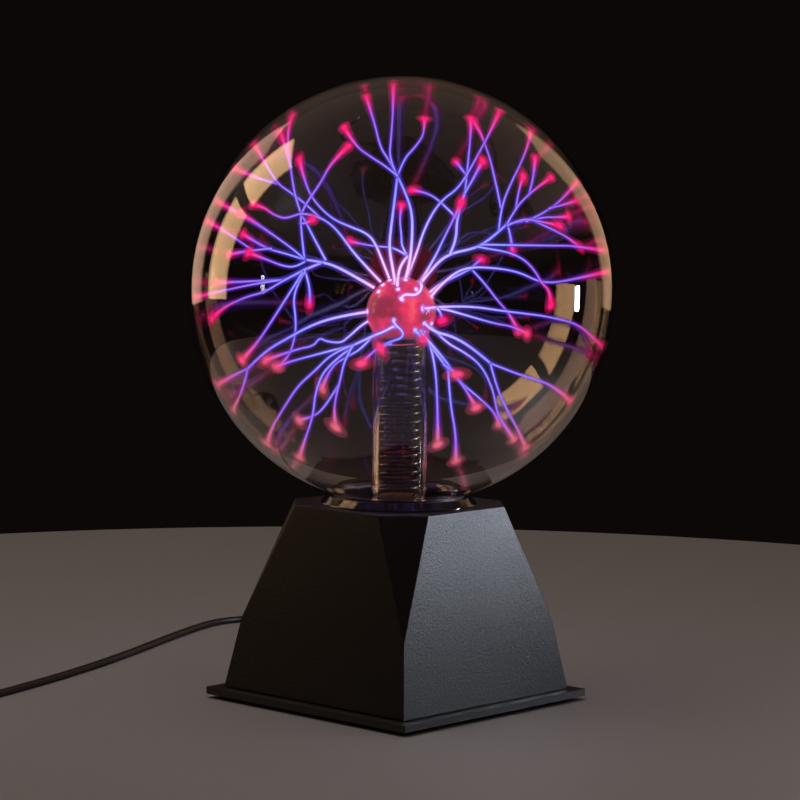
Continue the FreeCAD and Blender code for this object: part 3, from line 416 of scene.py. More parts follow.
def metal(name, dark, light, gloss, stretch=(1.0, 1.0, 1.0), grain=1.2, depth=0.004, edge=1.0):
    """Bare or plated metal: stretched noise gives the marks of drawing, turning or brushing."""
    finish = Finish(name)
    marks = finish.noise(grain, detail=5.0, stretch=stretch)
    finish.set(Metallic=1.0, Base_Color=finish.ramp(marks, (0.25, dark), (0.75, light)),
               Specular_Tint=(edge, edge, edge, 1.0),
               Roughness=finish.ramp(marks, (0.2, gloss), (0.8, gloss + 0.15)))
    return finish.bump(marks, depth).material


print("helpers ready")

# %% [markdown]
# Clear glass is a shader with full transmission. It would block the lamps' shadow rays, so those
# rays see it as transparent. Blown glass isn't even, so a broad, shallow bump bends its
# reflections a little.

# %% Blown glass
def blown_glass(name, tint, waviness):
    """Clear glass that lets lamps through, with a slow unevenness of its surface."""
    finish = Finish(name)
    finish.set(Base_Color=tint, Roughness=0.0, IOR=1.5, Transmission_Weight=1.0)
    finish.bump(finish.noise(30.0, detail=1.0), waviness, strength=0.6)
    path = finish.node("ShaderNodeLightPath")
    clear = finish.node("ShaderNodeBsdfTransparent")
    mixed = finish.node("ShaderNodeMixShader", Fac=path.outputs["Is Shadow Ray"])
    finish.feed(mixed.inputs[1], finish.shader.outputs["BSDF"])
    finish.feed(mixed.inputs[2], clear.outputs["BSDF"])
    finish.feed(finish.tree.nodes["Material Output"].inputs["Surface"], mixed.outputs["Shader"])
    return finish.material


globe_glass = blown_glass("globe_glass", (0.985, 0.965, 0.95, 1.0), 0.25)
stem_glass = blown_glass("stem_glass", (0.97, 0.98, 0.975, 1.0), 0.1)
print("two kinds of glass")

# %% [markdown]
# The globe is a sphere cut across where it is as narrow as its neck. The cut edge is drawn down
# to make the neck, and the skin is given a wall. The wall matters: it makes the double line round
# the globe's edge.

# %% Glass globe
def cut_below(mesh, height):
    """Cut away what is below a height and return the edges left open."""
    everything = mesh.verts[:] + mesh.edges[:] + mesh.faces[:]
    bmesh.ops.bisect_plane(mesh, geom=everything, plane_co=(0, 0, height * MM), plane_no=(0, 0, -1),
                           clear_outer=True)
    return [edge for edge in mesh.edges if edge.is_boundary]


def drawn_down(mesh, edges, height, spread=1.0):
    """Extrude an open edge to a new height, and widen or narrow it about the axis."""
    made = bmesh.ops.extrude_edge_only(mesh, edges=edges)["geom"]
    verts = [part for part in made if isinstance(part, bmesh.types.BMVert)]
    for vert in verts:
        vert.co.x *= spread
        vert.co.y *= spread
        vert.co.z = height * MM
    return [part for part in made if isinstance(part, bmesh.types.BMEdge)]


def blown_bulb(radius, centre, neck, low, columns, rows):
    """A sphere whose underside is drawn down into an open neck."""
    mesh = bmesh.new()
    bmesh.ops.create_uvsphere(mesh, u_segments=columns, v_segments=rows, radius=radius * MM)
    bmesh.ops.translate(mesh, verts=mesh.verts, vec=(0, 0, centre * MM))
    waist = centre - math.sqrt(radius * radius - neck * neck)
    edge = cut_below(mesh, waist)
    edge = drawn_down(mesh, edge, low + (waist - low) * 0.8)
    drawn_down(mesh, edge, low)
    print("the neck starts at", round(waist, 1), "mm")
    return mesh


def walled(item, thickness):
    """Give a thin skin its wall, which grows inwards."""
    wall = item.modifiers.new("wall", "SOLIDIFY")
    wall.thickness = thickness * MM
    wall.offset = -1.0


globe_mesh = blown_bulb(GLOBE_RADIUS, GLOBE_CENTRE, NECK_RADIUS, NECK_LOW, 176, 120)
globe = finished("glass_shell", globe_mesh, globe_glass, stands_for="glass_globe",
                 crease=80.0)
walled(globe, GLOBE_WALL)

# %% [markdown]
# The electrode's own glass is a tube with a bulb blown on its end, sealed to the neck by a flared
# foot. It is made like the globe, with the tube drawn down from the bulb and its foot spread out.

# %% Glass stem
stem_mesh = blown_bulb(BULB_RADIUS, BULB_CENTRE, STEM_RADIUS, NECK_LOW + 5.0, 72, 48)
foot_edge = [edge for edge in stem_mesh.edges if edge.is_boundary]
for drop, reach in ((3.2, 14.6), (1.2, 16.6), (0.2, 19.0), (0.0, 28.4)):
    ring = max(math.hypot(vert.co.x, vert.co.y) for edge in foot_edge for vert in edge.verts) / MM
    foot_edge = drawn_down(stem_mesh, foot_edge, NECK_LOW + drop, reach / ring)
stem = finished("stem_tube", stem_mesh, stem_glass, stands_for="electrode_stem",
                crease=80.0)
walled(stem, STEM_WALL)
print("bulb", BULB_RADIUS, "mm on a tube", STEM_RADIUS, "mm")

# %% [markdown]
# Inside the bulb is a ball of fine conducting wool. The discharge's light on it is painted into its
# surface as a glow: painted shade makes it deep crimson in its folds, painted light makes it coral
# on its lumps, and one darker spot is painted in. The ball is a fine sphere whose points are pushed
# in and out by noise, with a tail that dips into the tube, where it is painted dark as shade.

# %% Wool with a painted glow
wool_finish = Finish("wool_painted_glow")
# A noise decides where the painted glow is bright and where it is dark.
painted_glow_noise = wool_finish.noise(9.0, detail=3.0)
# A spot where the painted glow is darker.
PAINTED_DARK_SPOT = (1.0, -15.0, BULB_CENTRE + 3.0)
dark_spot_distance = wool_finish.worked_out("ShaderNodeVectorMath", "DISTANCE", wool_finish.place,
                                  [value * MM for value in PAINTED_DARK_SPOT])
painted_dark_dip = wool_finish.node("ShaderNodeMapRange", Value=dark_spot_distance.outputs["Value"],
                             From_Min=2.0 * MM, From_Max=11.0 * MM, To_Min=-0.22, To_Max=0.0)
painted_glow_pattern = wool_finish.worked_out("ShaderNodeMath", "ADD", painted_glow_noise, painted_dark_dip.outputs["Result"])
# Emission colours that paint the discharge's light onto the wool: deep crimson as painted shade, coral as
# painted light.
painted_wool_glow = wool_finish.ramp(painted_glow_pattern.outputs["Value"], (0.32, (0.13, 0.002, 0.016)),
                             (0.44, (0.42, 0.008, 0.07)), (0.56, (0.80, 0.012, 0.09)),
                             (0.70, (1.0, 0.10, 0.14)))
wool_low = low("electrode_wool")[2]
wool_height = wool_finish.node("ShaderNodeSeparateXYZ", Vector=wool_finish.place)
# Painted shade: the glow fades to nothing at the bottom of the tail, inside the tube.
painted_glow_height = wool_finish.node("ShaderNodeMapRange", Value=wool_height.outputs["Z"],
                            From_Min=(wool_low + 2.5) * MM, From_Max=(wool_low + 5.5) * MM, To_Max=1.0)
wool_finish.set(Base_Color=(0.05, 0.006, 0.012, 1.0), Roughness=0.9, Emission_Color=painted_wool_glow,
                Emission_Strength=painted_glow_height.outputs["Result"])

wool_mesh = bmesh.new()
bmesh.ops.create_icosphere(wool_mesh, subdivisions=6, radius=(BULB_RADIUS - STEM_WALL + 0.5) * MM)
for vert in wool_mesh.verts:
    lump = noise.noise(vert.co * 260.0) * 0.7 + noise.noise(vert.co * 800.0) * 0.3
    vert.co += vert.co.normalized() * lump * 0.5 * MM
bmesh.ops.translate(wool_mesh, verts=wool_mesh.verts, vec=bulb_middle * MM)
TAIL_RADIUS, TAIL_LENGTH = 11.3, 8.0
bmesh.ops.create_cone(wool_mesh, cap_ends=True, segments=48, radius1=TAIL_RADIUS * MM,
                      radius2=TAIL_RADIUS * MM, depth=TAIL_LENGTH * MM,
                      matrix=Matrix.Translation((0, 0, (wool_low + TAIL_LENGTH / 2) * MM)))
finished("wool_ball", wool_mesh, wool_finish.material, stands_for="electrode_wool",
         outward=False, crease=80.0)

# %% [markdown]
# The gas glows where it touches the bulb, which softens the bulb's edge. Two nearly transparent
# spheres round the bulb's centre stand for that layer of gas.

# %% Glow round the bulb
rim_light = Finish("rim_light").shine((1.0, 0.15, 0.28, 1.0), 1.3, alpha=0.08)
for number, reach in enumerate((0.2, 0.5), start=1):
    rim_mesh = bmesh.new()
    bmesh.ops.create_uvsphere(rim_mesh, u_segments=72, v_segments=48,
                              radius=(BULB_RADIUS + reach) * MM,
                              matrix=Matrix.Translation(bulb_middle * MM))
    finished("bulb_glow_%d" % number, rim_mesh, rim_light, crease=80.0)

# %% [markdown]
# The spring that joins the wool to the terminal is a helix. The spin operator makes one directly:
# a small circle of wire is carried round the axis and raised a little at each step.

# %% Contact spring
spring_finish = metal("blackened_spring", (0.06, 0.055, 0.045), (0.20, 0.17, 0.12), 0.15,
                      stretch=(1.0, 1.0, 6.0), grain=0.8, edge=0.7)
SPRING_WIRE = 2.2
SPRING_PITCH = 4.0
spring_radius = high("contact_spring")[0] - SPRING_WIRE / 2
spring_low = low("contact_spring")[2] + SPRING_WIRE / 2
spring_rise = high("contact_spring")[2] - low("contact_spring")[2] - SPRING_WIRE
spring_turns = spring_rise / SPRING_PITCH
spring_steps = round(spring_turns * 40)
spring_mesh = bmesh.new()
wire_end = Matrix.Translation((spring_radius * MM, 0, spring_low * MM))
bmesh.ops.create_circle(spring_mesh, segments=12, radius=SPRING_WIRE / 2 * MM, cap_ends=True,
                        matrix=wire_end @ Matrix.Rotation(math.pi / 2, 4, "X"))
bmesh.ops.spin(spring_mesh, geom=spring_mesh.verts[:] + spring_mesh.edges[:] + spring_mesh.faces[:],
               cent=(0, 0, 0), axis=(0, 0, 1), dvec=(0, 0, spring_rise * MM / spring_steps),
               angle=spring_turns * math.tau, steps=spring_steps)
finished("spring_coil", spring_mesh, spring_finish, stands_for="contact_spring")
print("spring turns:", round(spring_turns, 2))

# %% [markdown]
# The discharge is drawn as it is seen by someone who faces the front corner. Each row is one
# streamer: how near it starts, where it ends (on the near side of the glass, on the far side, or
# at a fork this near), and its points across and up from the globe's centre, in millimetres. Its
# depth changes evenly along it. Several streamers leave one trunk, as lightning does.

# %% Where the streamers run
NEAR, FAR = 1, -1
STREAMERS = [
    # the crown: one trunk up to a fork, then four arms and a link back
    (8, 30, (-3, 3), (-4, 9), (-6, 20), (-5, 29), (-3, 45), (-2, 53)),
    (30, NEAR, (-2, 53), (-6, 61), (-5, 72), (-4, 85), (-4, 99)),
    (30, FAR, (-2, 53), (-6, 61), (-10, 67), (-13, 80), (-17, 94)),
    (30, NEAR, (-2, 53), (-7, 57), (-14, 61), (-22, 66), (-27, 74)),
    (30, FAR, (-2, 53), (1, 62), (6, 68), (10, 74), (11, 80), (11, 84)),
    (6, 30, (2, 6), (4, 13), (5, 25), (5, 36), (2, 45), (-2, 53)),
    (14, -20, (-2, 2), (-2, 12), (3, 17)),
    (-20, FAR, (3, 17), (0, 22), (0, 28), (-1, 37), (0, 44)),
    (-20, FAR, (3, 17), (-3, 22), (-11, 23), (-19, 25), (-25, 27)),
    # upper left
    (4, FAR, (-6, 6), (-9, 14), (-13, 24), (-17, 28), (-24, 31), (-33, 35), (-41, 43), (-46, 52),
        (-49, 65)),
    (6, NEAR, (-10, 4), (-21, 15), (-27, 23), (-32, 29), (-38, 33), (-47, 35), (-52, 33), (-56, 32),
        (-61, 34), (-65, 37), (-70, 38)),
    (22, NEAR, (-38, 33), (-44, 39), (-53, 46), (-59, 50), (-66, 62), (-70, 69)),
    (12, NEAR, (-36, 14), (-41, 23), (-45, 31), (-48, 36), (-51, 46), (-53, 62), (-57, 73)),
    (18, NEAR, (-46, 14), (-48, 31), (-47, 36), (-44, 41), (-38, 49), (-33, 58), (-25, 65)),
    (24, NEAR, (-48, 31), (-45, 29), (-42, 30)),
    (31, NEAR, (-53, 62), (-55, 74), (-52, 84)),
    (15, NEAR, (-59, 50), (-68, 52), (-78, 56)),
    # left: a thick trunk with many fingers
    (9, 18, (-13, 1), (-20, 5), (-29, 10), (-37, 13), (-46, 14)),
    (18, NEAR, (-46, 14), (-49, 17), (-61, 25), (-70, 31), (-76, 34)),
    (18, FAR, (-46, 14), (-56, 18), (-65, 21), (-76, 29)),
    (0, FAR, (-62, 20), (-71, 20), (-83, 19)),
    (36, NEAR, (-61, 25), (-73, 33), (-87, 41)),
    (-21, FAR, (-71, 20), (-84, 29), (-95, 34)),
    (18, NEAR, (-46, 13), (-50, 10), (-56, 10), (-65, 13), (-72, 15)),
    (16, 6, (-37, 13), (-45, 10), (-50, 7), (-56, 5)),
    (6, FAR, (-56, 5), (-64, 5), (-72, 5), (-89, 5)),
    (6, NEAR, (-56, 5), (-69, 3), (-89, -2), (-97, -4)),
    (14, NEAR, (-45, 10), (-56, 4), (-65, -2), (-73, -4), (-85, -10), (-89, -15)),
    (16, FAR, (-46, 9), (-43, 3), (-44, -3)),
    (16, NEAR, (-47, 8), (-53, -2), (-62, -17), (-69, -28), (-75, -35)),
    (16, FAR, (-46, 8), (-52, 0), (-50, -14), (-51, -22), (-54, -30), (-59, -34)),
    # lower left
    (2, 0, (-15, -10), (-29, -12), (-42, -16), (-53, -22), (-62, -27), (-68, -32), (-73, -37)),
    (0, FAR, (-73, -37), (-80, -40), (-88, -45)),
    (0, NEAR, (-73, -37), (-75, -46), (-79, -54), (-81, -58)),
    (13, 30, (-3, -17), (-8, -20), (-13, -22), (-23, -27)),
    (30, FAR, (-23, -27), (-36, -29), (-42, -30), (-53, -32), (-60, -34)),
    (30, NEAR, (-23, -27), (-32, -30), (-42, -40), (-49, -46), (-56, -57), (-62, -67), (-63, -73)),
    (20, FAR, (-24, -28), (-36, -36), (-41, -48), (-42, -59), (-46, -70), (-49, -79)),
    (30, NEAR, (-23, -27), (-27, -34), (-29, -44), (-31, -52), (-32, -60), (-31, -67)),
    (30, FAR, (-30, -46), (-37, -56), (-43, -59), (-49, -60)),
    (-6, FAR, (-15, -14), (-18, -15), (-26, -22), (-29, -24), (-36, -23), (-39, -21), (-42, -25),
        (-50, -26), (-65, -31)),
    (-8, FAR, (-12, -19), (-18, -26), (-26, -30), (-34, -34), (-38, -44)),
    (16, NEAR, (-4, -15), (-3, -17), (1, -21), (0, -24), (-5, -26), (-9, -28), (-14, -32), (-19, -38)),
    (22, NEAR, (-5, -26), (-8, -28), (-10, -31)),
    # straight up past the bulb, and the long right-hand arc
    (2, NEAR, (2, 5), (7, 17), (10, 27), (15, 37), (20, 43), (26, 47), (31, 54), (37, 65), (42, 74),
        (46, 83)),
    (0, NEAR, (8, 3), (15, 13), (20, 23), (24, 30), (28, 38)),
    (3, NEAR, (14, -3), (17, 1), (26, 9), (34, 11), (47, 10), (56, 8), (64, 4), (70, 3), (79, 4),
        (97, 8)),
    (-6, -40, (12, -2), (18, 4), (26, 8), (33, 12)),
    (-40, FAR, (33, 12), (40, 5), (46, -3), (52, -9), (56, -17)),
    (-40, FAR, (33, 12), (35, 15), (38, 18)),
    # right: the second thick trunk, which starts on the front of the bulb
    (16, 13, (0, -4), (1, -2), (7, -3), (10, 1), (9, 4)),
    (13, 20, (9, 3), (16, 12), (23, 17), (33, 19), (38, 21), (46, 27), (50, 31)),
    (20, NEAR, (50, 31), (54, 38), (60, 44), (67, 49), (70, 51)),
    (24, NEAR, (54, 38), (55, 44), (56, 48), (57, 51)),
    (20, NEAR, (50, 31), (59, 32), (70, 38), (77, 44), (84, 52)),
    (20, FAR, (59, 32), (67, 35), (75, 36), (80, 37)),
    (20, NEAR, (50, 30), (57, 33), (64, 31), (71, 29), (74, 28)),
    (30, FAR, (62, 32), (71, 29), (79, 26), (86, 22)),
    (18, FAR, (46, 28), (47, 39), (52, 51), (57, 61), (60, 69), (62, 77)),
    (8, FAR, (47, 39), (45, 50), (42, 64), (38, 76), (34, 83)),
    (20, FAR, (38, 21), (43, 21), (54, 21), (70, 21), (83, 21), (97, 19)),
    (20, NEAR, (36, 20), (40, 19), (50, 17), (58, 13), (63, 7), (66, 1), (70, -3), (70, -10)),
    (20, FAR, (50, 31), (52, 27), (53, 22)),
    (24, FAR, (60, 44), (63, 54), (64, 65)),
    (24, FAR, (70, 38), (78, 41), (84, 44)),
    (18, 10, (23, 17), (26, 23), (26, 34), (30, 46)),
    (10, FAR, (30, 46), (31, 56), (32, 66), (33, 76), (33, 84)),
    (10, NEAR, (30, 46), (33, 50), (38, 58)),
    (8, FAR, (31, 54), (29, 58), (26, 64)),
    (12, FAR, (26, 34), (19, 43), (12, 49), (5, 51)),
    # right and lower right
    (12, NEAR, (10, -9), (18, -8), (34, -8), (47, -10), (64, -12), (70, -13), (83, -16), (90, -22),
        (95, -27)),
    (12, FAR, (10, -9), (18, -8), (27, -10), (44, -14), (54, -15), (60, -18)),
    (13, NEAR, (17, -9), (19, -13), (19, -18)),
    (10, 16, (11, -16), (15, -20), (24, -22), (34, -28), (42, -35)),
    (16, NEAR, (42, -35), (54, -40), (60, -42), (72, -46), (79, -53)),
    (16, NEAR, (42, -35), (45, -47), (50, -58), (56, -69), (58, -75)),
    (4, FAR, (12, -15), (20, -24), (30, -29), (38, -35), (43, -45), (45, -54), (46, -59), (54, -70)),
    (9, 24, (8, -20), (11, -22), (16, -30), (22, -38)),
    (24, FAR, (22, -38), (28, -44), (38, -51), (45, -57), (47, -62)),
    (9, NEAR, (9, -20), (20, -33), (26, -43), (32, -52), (35, -58)),
    (24, NEAR, (20, -36), (24, -40), (26, -43)),
    (24, FAR, (22, -38), (23, -54), (26, -67), (26, -80)),
    (6, NEAR, (10, -20), (13, -24), (16, -37), (17, -57), (17, -75)),
    (12, NEAR, (7, -20), (8, -22), (10, -27)),
]
print(len(STREAMERS), "streamers,", sum(len(route) for _, _, *route in STREAMERS), "points")

# %% [markdown]
# The drawing is put into the globe by turning it to face the front corner. Things nearer to the
# viewer look larger, so a near point is drawn in a little and a far one spread out. A streamer that
# ends on the glass gets the depth of the glass there.

# %% Put the streamers into the globe
GLASS_INSIDE = GLOBE_RADIUS - GLOBE_WALL - 0.8
VIEW_DISTANCE = 1380.0
FACING = Matrix.Rotation(VIEW_TURN, 3, "Z") @ Matrix.Rotation(VIEW_TILT, 3, "X")
FACING = FACING @ Matrix.Rotation(VIEW_ROLL, 3, "Z")


def depth_on_glass(across, up, side):
    """How near the glass is at a point of the drawing, on its near or far side."""
    depth = 0.0
    for _ in range(4):
        shrink = (VIEW_DISTANCE - depth) / VIEW_DISTANCE
        rest = GLASS_INSIDE ** 2 - (across ** 2 + up ** 2) * shrink ** 2
        depth = side * math.sqrt(max(rest, 0.0))
    return depth


def in_globe(across, up, depth):
    """A point of the drawing, in the frame, in millimetres."""
    shrink = (VIEW_DISTANCE - depth) / VIEW_DISTANCE
    point = Vector((across * shrink, up * shrink, depth))
    if point.length > GLASS_INSIDE:
        point *= GLASS_INSIDE / point.length
    return FACING @ point + globe_middle


def streamer_points(start, end, *route):
    """The points of one streamer, and whether it reaches the glass."""
    touches = end in (NEAR, FAR)
    last = depth_on_glass(*route[-1], end) if touches else end
    lengths = [0.0]
    for one, other in zip(route, route[1:]):
        lengths.append(lengths[-1] + math.dist(one, other))
    points = []
    for (across, up), length in zip(route, lengths):
        share = length / lengths[-1]
        points.append(in_globe(across, up, start + (last - start) * share))
    return points, touches


drawn = [streamer_points(*streamer) for streamer in STREAMERS]
print("streamers that reach the glass:", sum(touches for _, touches in drawn))

# %% [markdown]
# A streamer isn't a solid thing: it has a bright core and fades outwards, so there are three
# lights, from strong and solid to weak and nearly clear. The colour of each follows the distance
# from the globe's centre: pinkish white at the start, violet on the way, and magenta close to the
# glass, turning to a paler pink low down.

# %% Colours of the discharge
def discharge(name, strength, alpha, body_colours):
    """Light whose colour follows the distance from the globe's centre and the height."""
    finish = Finish(name)
    offset = finish.worked_out("ShaderNodeVectorMath", "SUBTRACT", finish.place, globe_middle * MM)
    reach = finish.worked_out("ShaderNodeVectorMath", "LENGTH", offset.outputs["Vector"])
    share = finish.node("ShaderNodeMapRange", Value=reach.outputs["Value"], From_Max=GLOBE_RADIUS * MM)
    threads = finish.ramp(share.outputs["Result"], *body_colours)
    height = finish.node("ShaderNodeSeparateXYZ", Vector=offset.outputs["Vector"])
    lowness = finish.node("ShaderNodeMapRange", Value=height.outputs["Z"], From_Min=-10 * MM,
                          From_Max=-60 * MM)
    feet = finish.ramp(lowness.outputs["Result"], (0.0, (1.0, 0.015, 0.19)), (1.0, (0.66, 0.11, 0.19)))
    near_glass = finish.node("ShaderNodeMapRange", Value=reach.outputs["Value"], From_Min=84 * MM,
                             From_Max=97 * MM)
    blend = finish.node("ShaderNodeMix", Factor=near_glass.outputs["Result"])
    blend.data_type = "RGBA"
    finish.feed(blend.inputs["A"], threads)
    finish.feed(blend.inputs["B"], feet)
    return finish.shine(blend.outputs["Result"], strength, alpha)


THREAD = ((0.16, (1.0, 0.78, 1.0)), (0.26, (0.66, 0.68, 1.0)), (0.50, (0.36, 0.40, 1.0)),
          (0.82, (0.30, 0.20, 0.95)))
GLOW = ((0.16, (0.60, 0.16, 0.75)), (0.28, (0.20, 0.09, 0.95)), (0.55, (0.09, 0.05, 0.80)),
        (0.85, (0.22, 0.02, 0.60)))
thread_light = discharge("thread_light", 1.6, 1.0, THREAD)
glow_light = discharge("glow_light", 1.1, 0.38, GLOW)
haze_light = discharge("haze_light", 0.8, 0.10, GLOW)
print("three layers of light")

# %% [markdown]
# A curve with a round bevel makes the bright threads, and wider, fainter tubes round the same
# points make the fading. Each of these four curves is turned into a mesh, so that it is finished
# like every other piece. A tube gets thinner on its way and flares where it meets the glass.

# %% Make the streamers
def streamer_curves(name, thickness, material, widening, roundness):
    """One object with a tube for every streamer; `widening` is how much it flares at the glass."""
    curve = round_curve(name, MM, roundness)
    for points, touches in drawn:
        thick = thickness * (0.95 if touches else 1.15)
        radii = [thick * (1.1 - 0.35 * (point - globe_middle).length / GLASS_INSIDE) for point in points]
        if touches:
            radii[-1] *= widening
        add_line(curve, points, radii)
    thing = placed(name, curve)
    data = bpy.data.meshes.new_from_object(thing)
    bpy.data.objects.remove(thing)
    mesh = bmesh.new()
    mesh.from_mesh(data)
    return finished(name, mesh, material, outward=False, crease=80.0)


streamer_curves("streamer_threads", 0.48, thread_light, 2.0, 2)
streamer_curves("streamer_glow", 0.78, glow_light, 2.5, 3)
streamer_curves("streamer_haze", 1.15, haze_light, 2.6, 3)
streamer_curves("streamer_far_haze", 1.8, haze_light, 2.3, 3)

# %% [markdown]
# Where a streamer touches the glass it spreads into a soft pink foot, and where it leaves the bulb
# it has a small bright root. Each is a flattened ball, drawn out by an amount that a seeded
# generator picks, so it is the same every time.

# %% Feet on the glass and roots on the bulb
def patches(name, places, radius, flatness, material, seed, stretch):
    """Flattened balls lying on a sphere: `places` gives each one's place, outward line and size."""
    picker = random.Random(seed)
    mesh = bmesh.new()
    patch = bpy.data.meshes.new("one_patch")
    for point, outwards, size in places:
        lie = outwards.to_track_quat("Z", "Y").to_matrix().to_4x4()
        spin = Matrix.Rotation(picker.uniform(0.0, math.pi), 4, "Z")
        long = picker.uniform(1.0, stretch)
        shape = Matrix.Diagonal((radius * size * long * MM, radius * size * MM, flatness * MM, 1.0))
        ball = bmesh.new()
        bmesh.ops.create_uvsphere(ball, u_segments=20, v_segments=12, radius=1.0,
                                  matrix=Matrix.Translation(point * MM) @ lie @ spin @ shape)
        ball.to_mesh(patch)
        ball.free()
        mesh.from_mesh(patch)
    bpy.data.meshes.remove(patch)
    return finished(name, mesh, material, outward=False, crease=80.0)


ROOT_REACH = 22.0
feet, roots = [], []
for points, touches in drawn:
    if touches:
        outwards = (points[-1] - globe_middle).normalized()
        lowness = max(0.0, -outwards.z)
        feet.append((globe_middle + outwards * GLASS_INSIDE, outwards, 1.0 + 0.7 * lowness))
    from_bulb = points[0] - bulb_middle
    if from_bulb.length < ROOT_REACH:
        outwards = from_bulb.normalized()
        roots.append((bulb_middle + outwards * (BULB_RADIUS + 0.3), outwards, 1.0))
FEET_SEED, ROOTS_SEED = 7, 3
patches("streamer_feet", feet, 1.0, 0.30, thread_light, FEET_SEED, 1.8)
patches("feet_glow", feet, 1.5, 0.42, glow_light, FEET_SEED, 1.9)
patches("feet_haze", feet, 2.1, 0.54, haze_light, FEET_SEED, 2.0)
patches("feet_far_haze", feet, 2.9, 0.66, haze_light, FEET_SEED, 2.1)
patches("streamer_roots", roots, 0.9, 0.5, thread_light, ROOTS_SEED, 1.5)
patches("roots_glow", roots, 1.7, 0.7, glow_light, ROOTS_SEED, 1.5)
print(len(feet), "feet and", len(roots), "roots")

# %% [markdown]
# The globe sits in a low glossy ring. The ring is turned from its section: a skirt that goes down
# through the casing, a shoulder on the casing's top, and a slope up to a thin bright rim.

# %% Collar and seal
BASE_TOP = high("base_shell")[2]
COLLAR_RADIUS = high("globe_collar")[0]
COLLAR_TOP = high("globe_collar")[2]
COLLAR_LOW = low("globe_collar")[2]
collar_finish = moulded("gloss_black", (0.006, 0.006, 0.007), (0.012, 0.012, 0.013), 0.06,
                        grain=3.0, depth=0.004)
collar_outline = [(29.4, COLLAR_LOW), (31.5, COLLAR_LOW), (31.5, BASE_TOP),
                  (COLLAR_RADIUS, BASE_TOP), (COLLAR_RADIUS, BASE_TOP + 0.5),
                  (34.1, COLLAR_TOP), (31.3, COLLAR_TOP), (29.4, COLLAR_TOP - 1.4)]
collar = finished("collar_ring", turned(collar_outline, steps=144), collar_finish,
                  stands_for="globe_collar")
rounded(collar, 0.45)
seal_finish = moulded("soft_seal", 0.010, 0.022, 0.42, grain=0.8, depth=0.01)
print("collar", round(2 * COLLAR_RADIUS, 1), "mm across")

# %% [markdown]
# The casing's mould was roughened by sparks, which leaves a fine, sharp grain on the plastic. Two
# noises of different size are added up for it, so that it glitters where light skims it.

# %% Casing finish
casing_finish = Finish("textured_casing")
fine_grain = casing_finish.noise(0.5, detail=5.0)
coarse_grain = casing_finish.noise(0.9, detail=2.0)
grain = casing_finish.worked_out("ShaderNodeMath", "ADD", fine_grain, coarse_grain)
casing_gloss = casing_finish.ramp(casing_finish.noise(40.0, detail=2.0), (0.3, 0.34), (0.7, 0.40))
casing_black = casing_finish.ramp(fine_grain, (0.3, (0.004, 0.004, 0.0045)), (0.75, (0.014, 0.014, 0.016)))
casing_finish.set(Base_Color=casing_black, Roughness=casing_gloss, Specular_IOR_Level=0.42)
casing_finish.bump(grain.outputs["Value"], 0.13)
print("casing finish ready")

# %% [markdown]
# The casing is moulded in one piece: a four-sided pyramid with its corners cut off, open below.
# The frame already holds that shape as triangles. A copy is joined up into whole faces, and its
# long edges are then rounded, because a moulded edge is never perfectly sharp.

# %% Casing
def softened_copy(name, node, material, shortest, width):
    """A frame node's shape in whole faces, its edges over `shortest` millimetres rounded."""
    mesh = bmesh.new()
    mesh.from_mesh(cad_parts[node].data)
    bmesh.ops.remove_doubles(mesh, verts=mesh.verts, dist=0.000002)
    bmesh.ops.dissolve_limit(mesh, angle_limit=math.radians(0.4), verts=mesh.verts, edges=mesh.edges)
    edges = [edge for edge in mesh.edges if edge.calc_length() > shortest * MM
             and len(edge.link_faces) == 2 and edge.calc_face_angle(0.0) > 0.12]
    bmesh.ops.bevel(mesh, geom=edges, offset=width * MM, offset_type="OFFSET", segments=3,
                    profile=0.5, affect="EDGES", material=-1, clamp_overlap=True)
    print("rounded", len(edges), "long edges of the", name)
    item = finished(name, mesh, material, stands_for=node, crease=50.0, outward=False)
    item.modifiers.new("flats_stay_flat", "WEIGHTED_NORMAL").keep_sharp = True


softened_copy("casing", "base_shell", casing_finish.material, 14.0, 0.7)

# %% [markdown]
# The bottom plate closes the casing and stands out all round as a thin flange, a shade glossier
# than the casing. It is treated like the casing: a joined-up copy with its long edges rounded.

# %% Bottom plate
plate_finish = moulded("plate_black", (0.009, 0.009, 0.0095), (0.022, 0.022, 0.024), 0.34,
                       grain=0.6, depth=0.02)
softened_copy("base_plate", "bottom_plate", plate_finish, 60.0, 0.35)

# %% [markdown]
# Four self-adhesive rubber feet keep the ball from sliding. Each is a low dome, pressed flat
# where it stands, with a shallow ring in its face.

# %% Rubber feet
def stepped(mesh, faces, steps):
    """Sink or raise the middle of flat faces: each step is (how far in, how far up)."""
    for reach, rise in steps:
        bmesh.ops.inset_region(mesh, faces=faces, thickness=reach * MM)
        corners = {vert for face in faces for vert in face.verts}
        bmesh.ops.translate(mesh, verts=list(corners), vec=(0, 0, rise * MM))


foot_rubber = moulded("foot_rubber", 0.012, 0.030, 0.62, grain=0.4, depth=0.02)
FOOT_RADIUS = 5.0
foot_place = high("rubber_feet")[0] - FOOT_RADIUS
foot_height = high("rubber_feet")[2]
feet_mesh = bmesh.new()
for side in (1, -1):
    for end in (1, -1):
        place = Vector((side * foot_place, end * foot_place, foot_height / 2)) * MM
        bmesh.ops.create_cone(feet_mesh, cap_ends=True, segments=48, radius1=(FOOT_RADIUS - 0.7) * MM,
                              radius2=FOOT_RADIUS * MM, depth=foot_height * MM,
                              matrix=Matrix.Translation(place))
        under = [face for face in feet_mesh.faces if face.normal.z < -0.9 and len(face.verts) > 4
                 and (face.calc_center_median() - place).length < foot_height * MM]
        stepped(feet_mesh, under, ((0.9, 0.0), (0.5, 0.35)))
rubber_feet = finished("rubber_pads", feet_mesh, foot_rubber, stands_for="rubber_feet")
rounded(rubber_feet, 0.25)

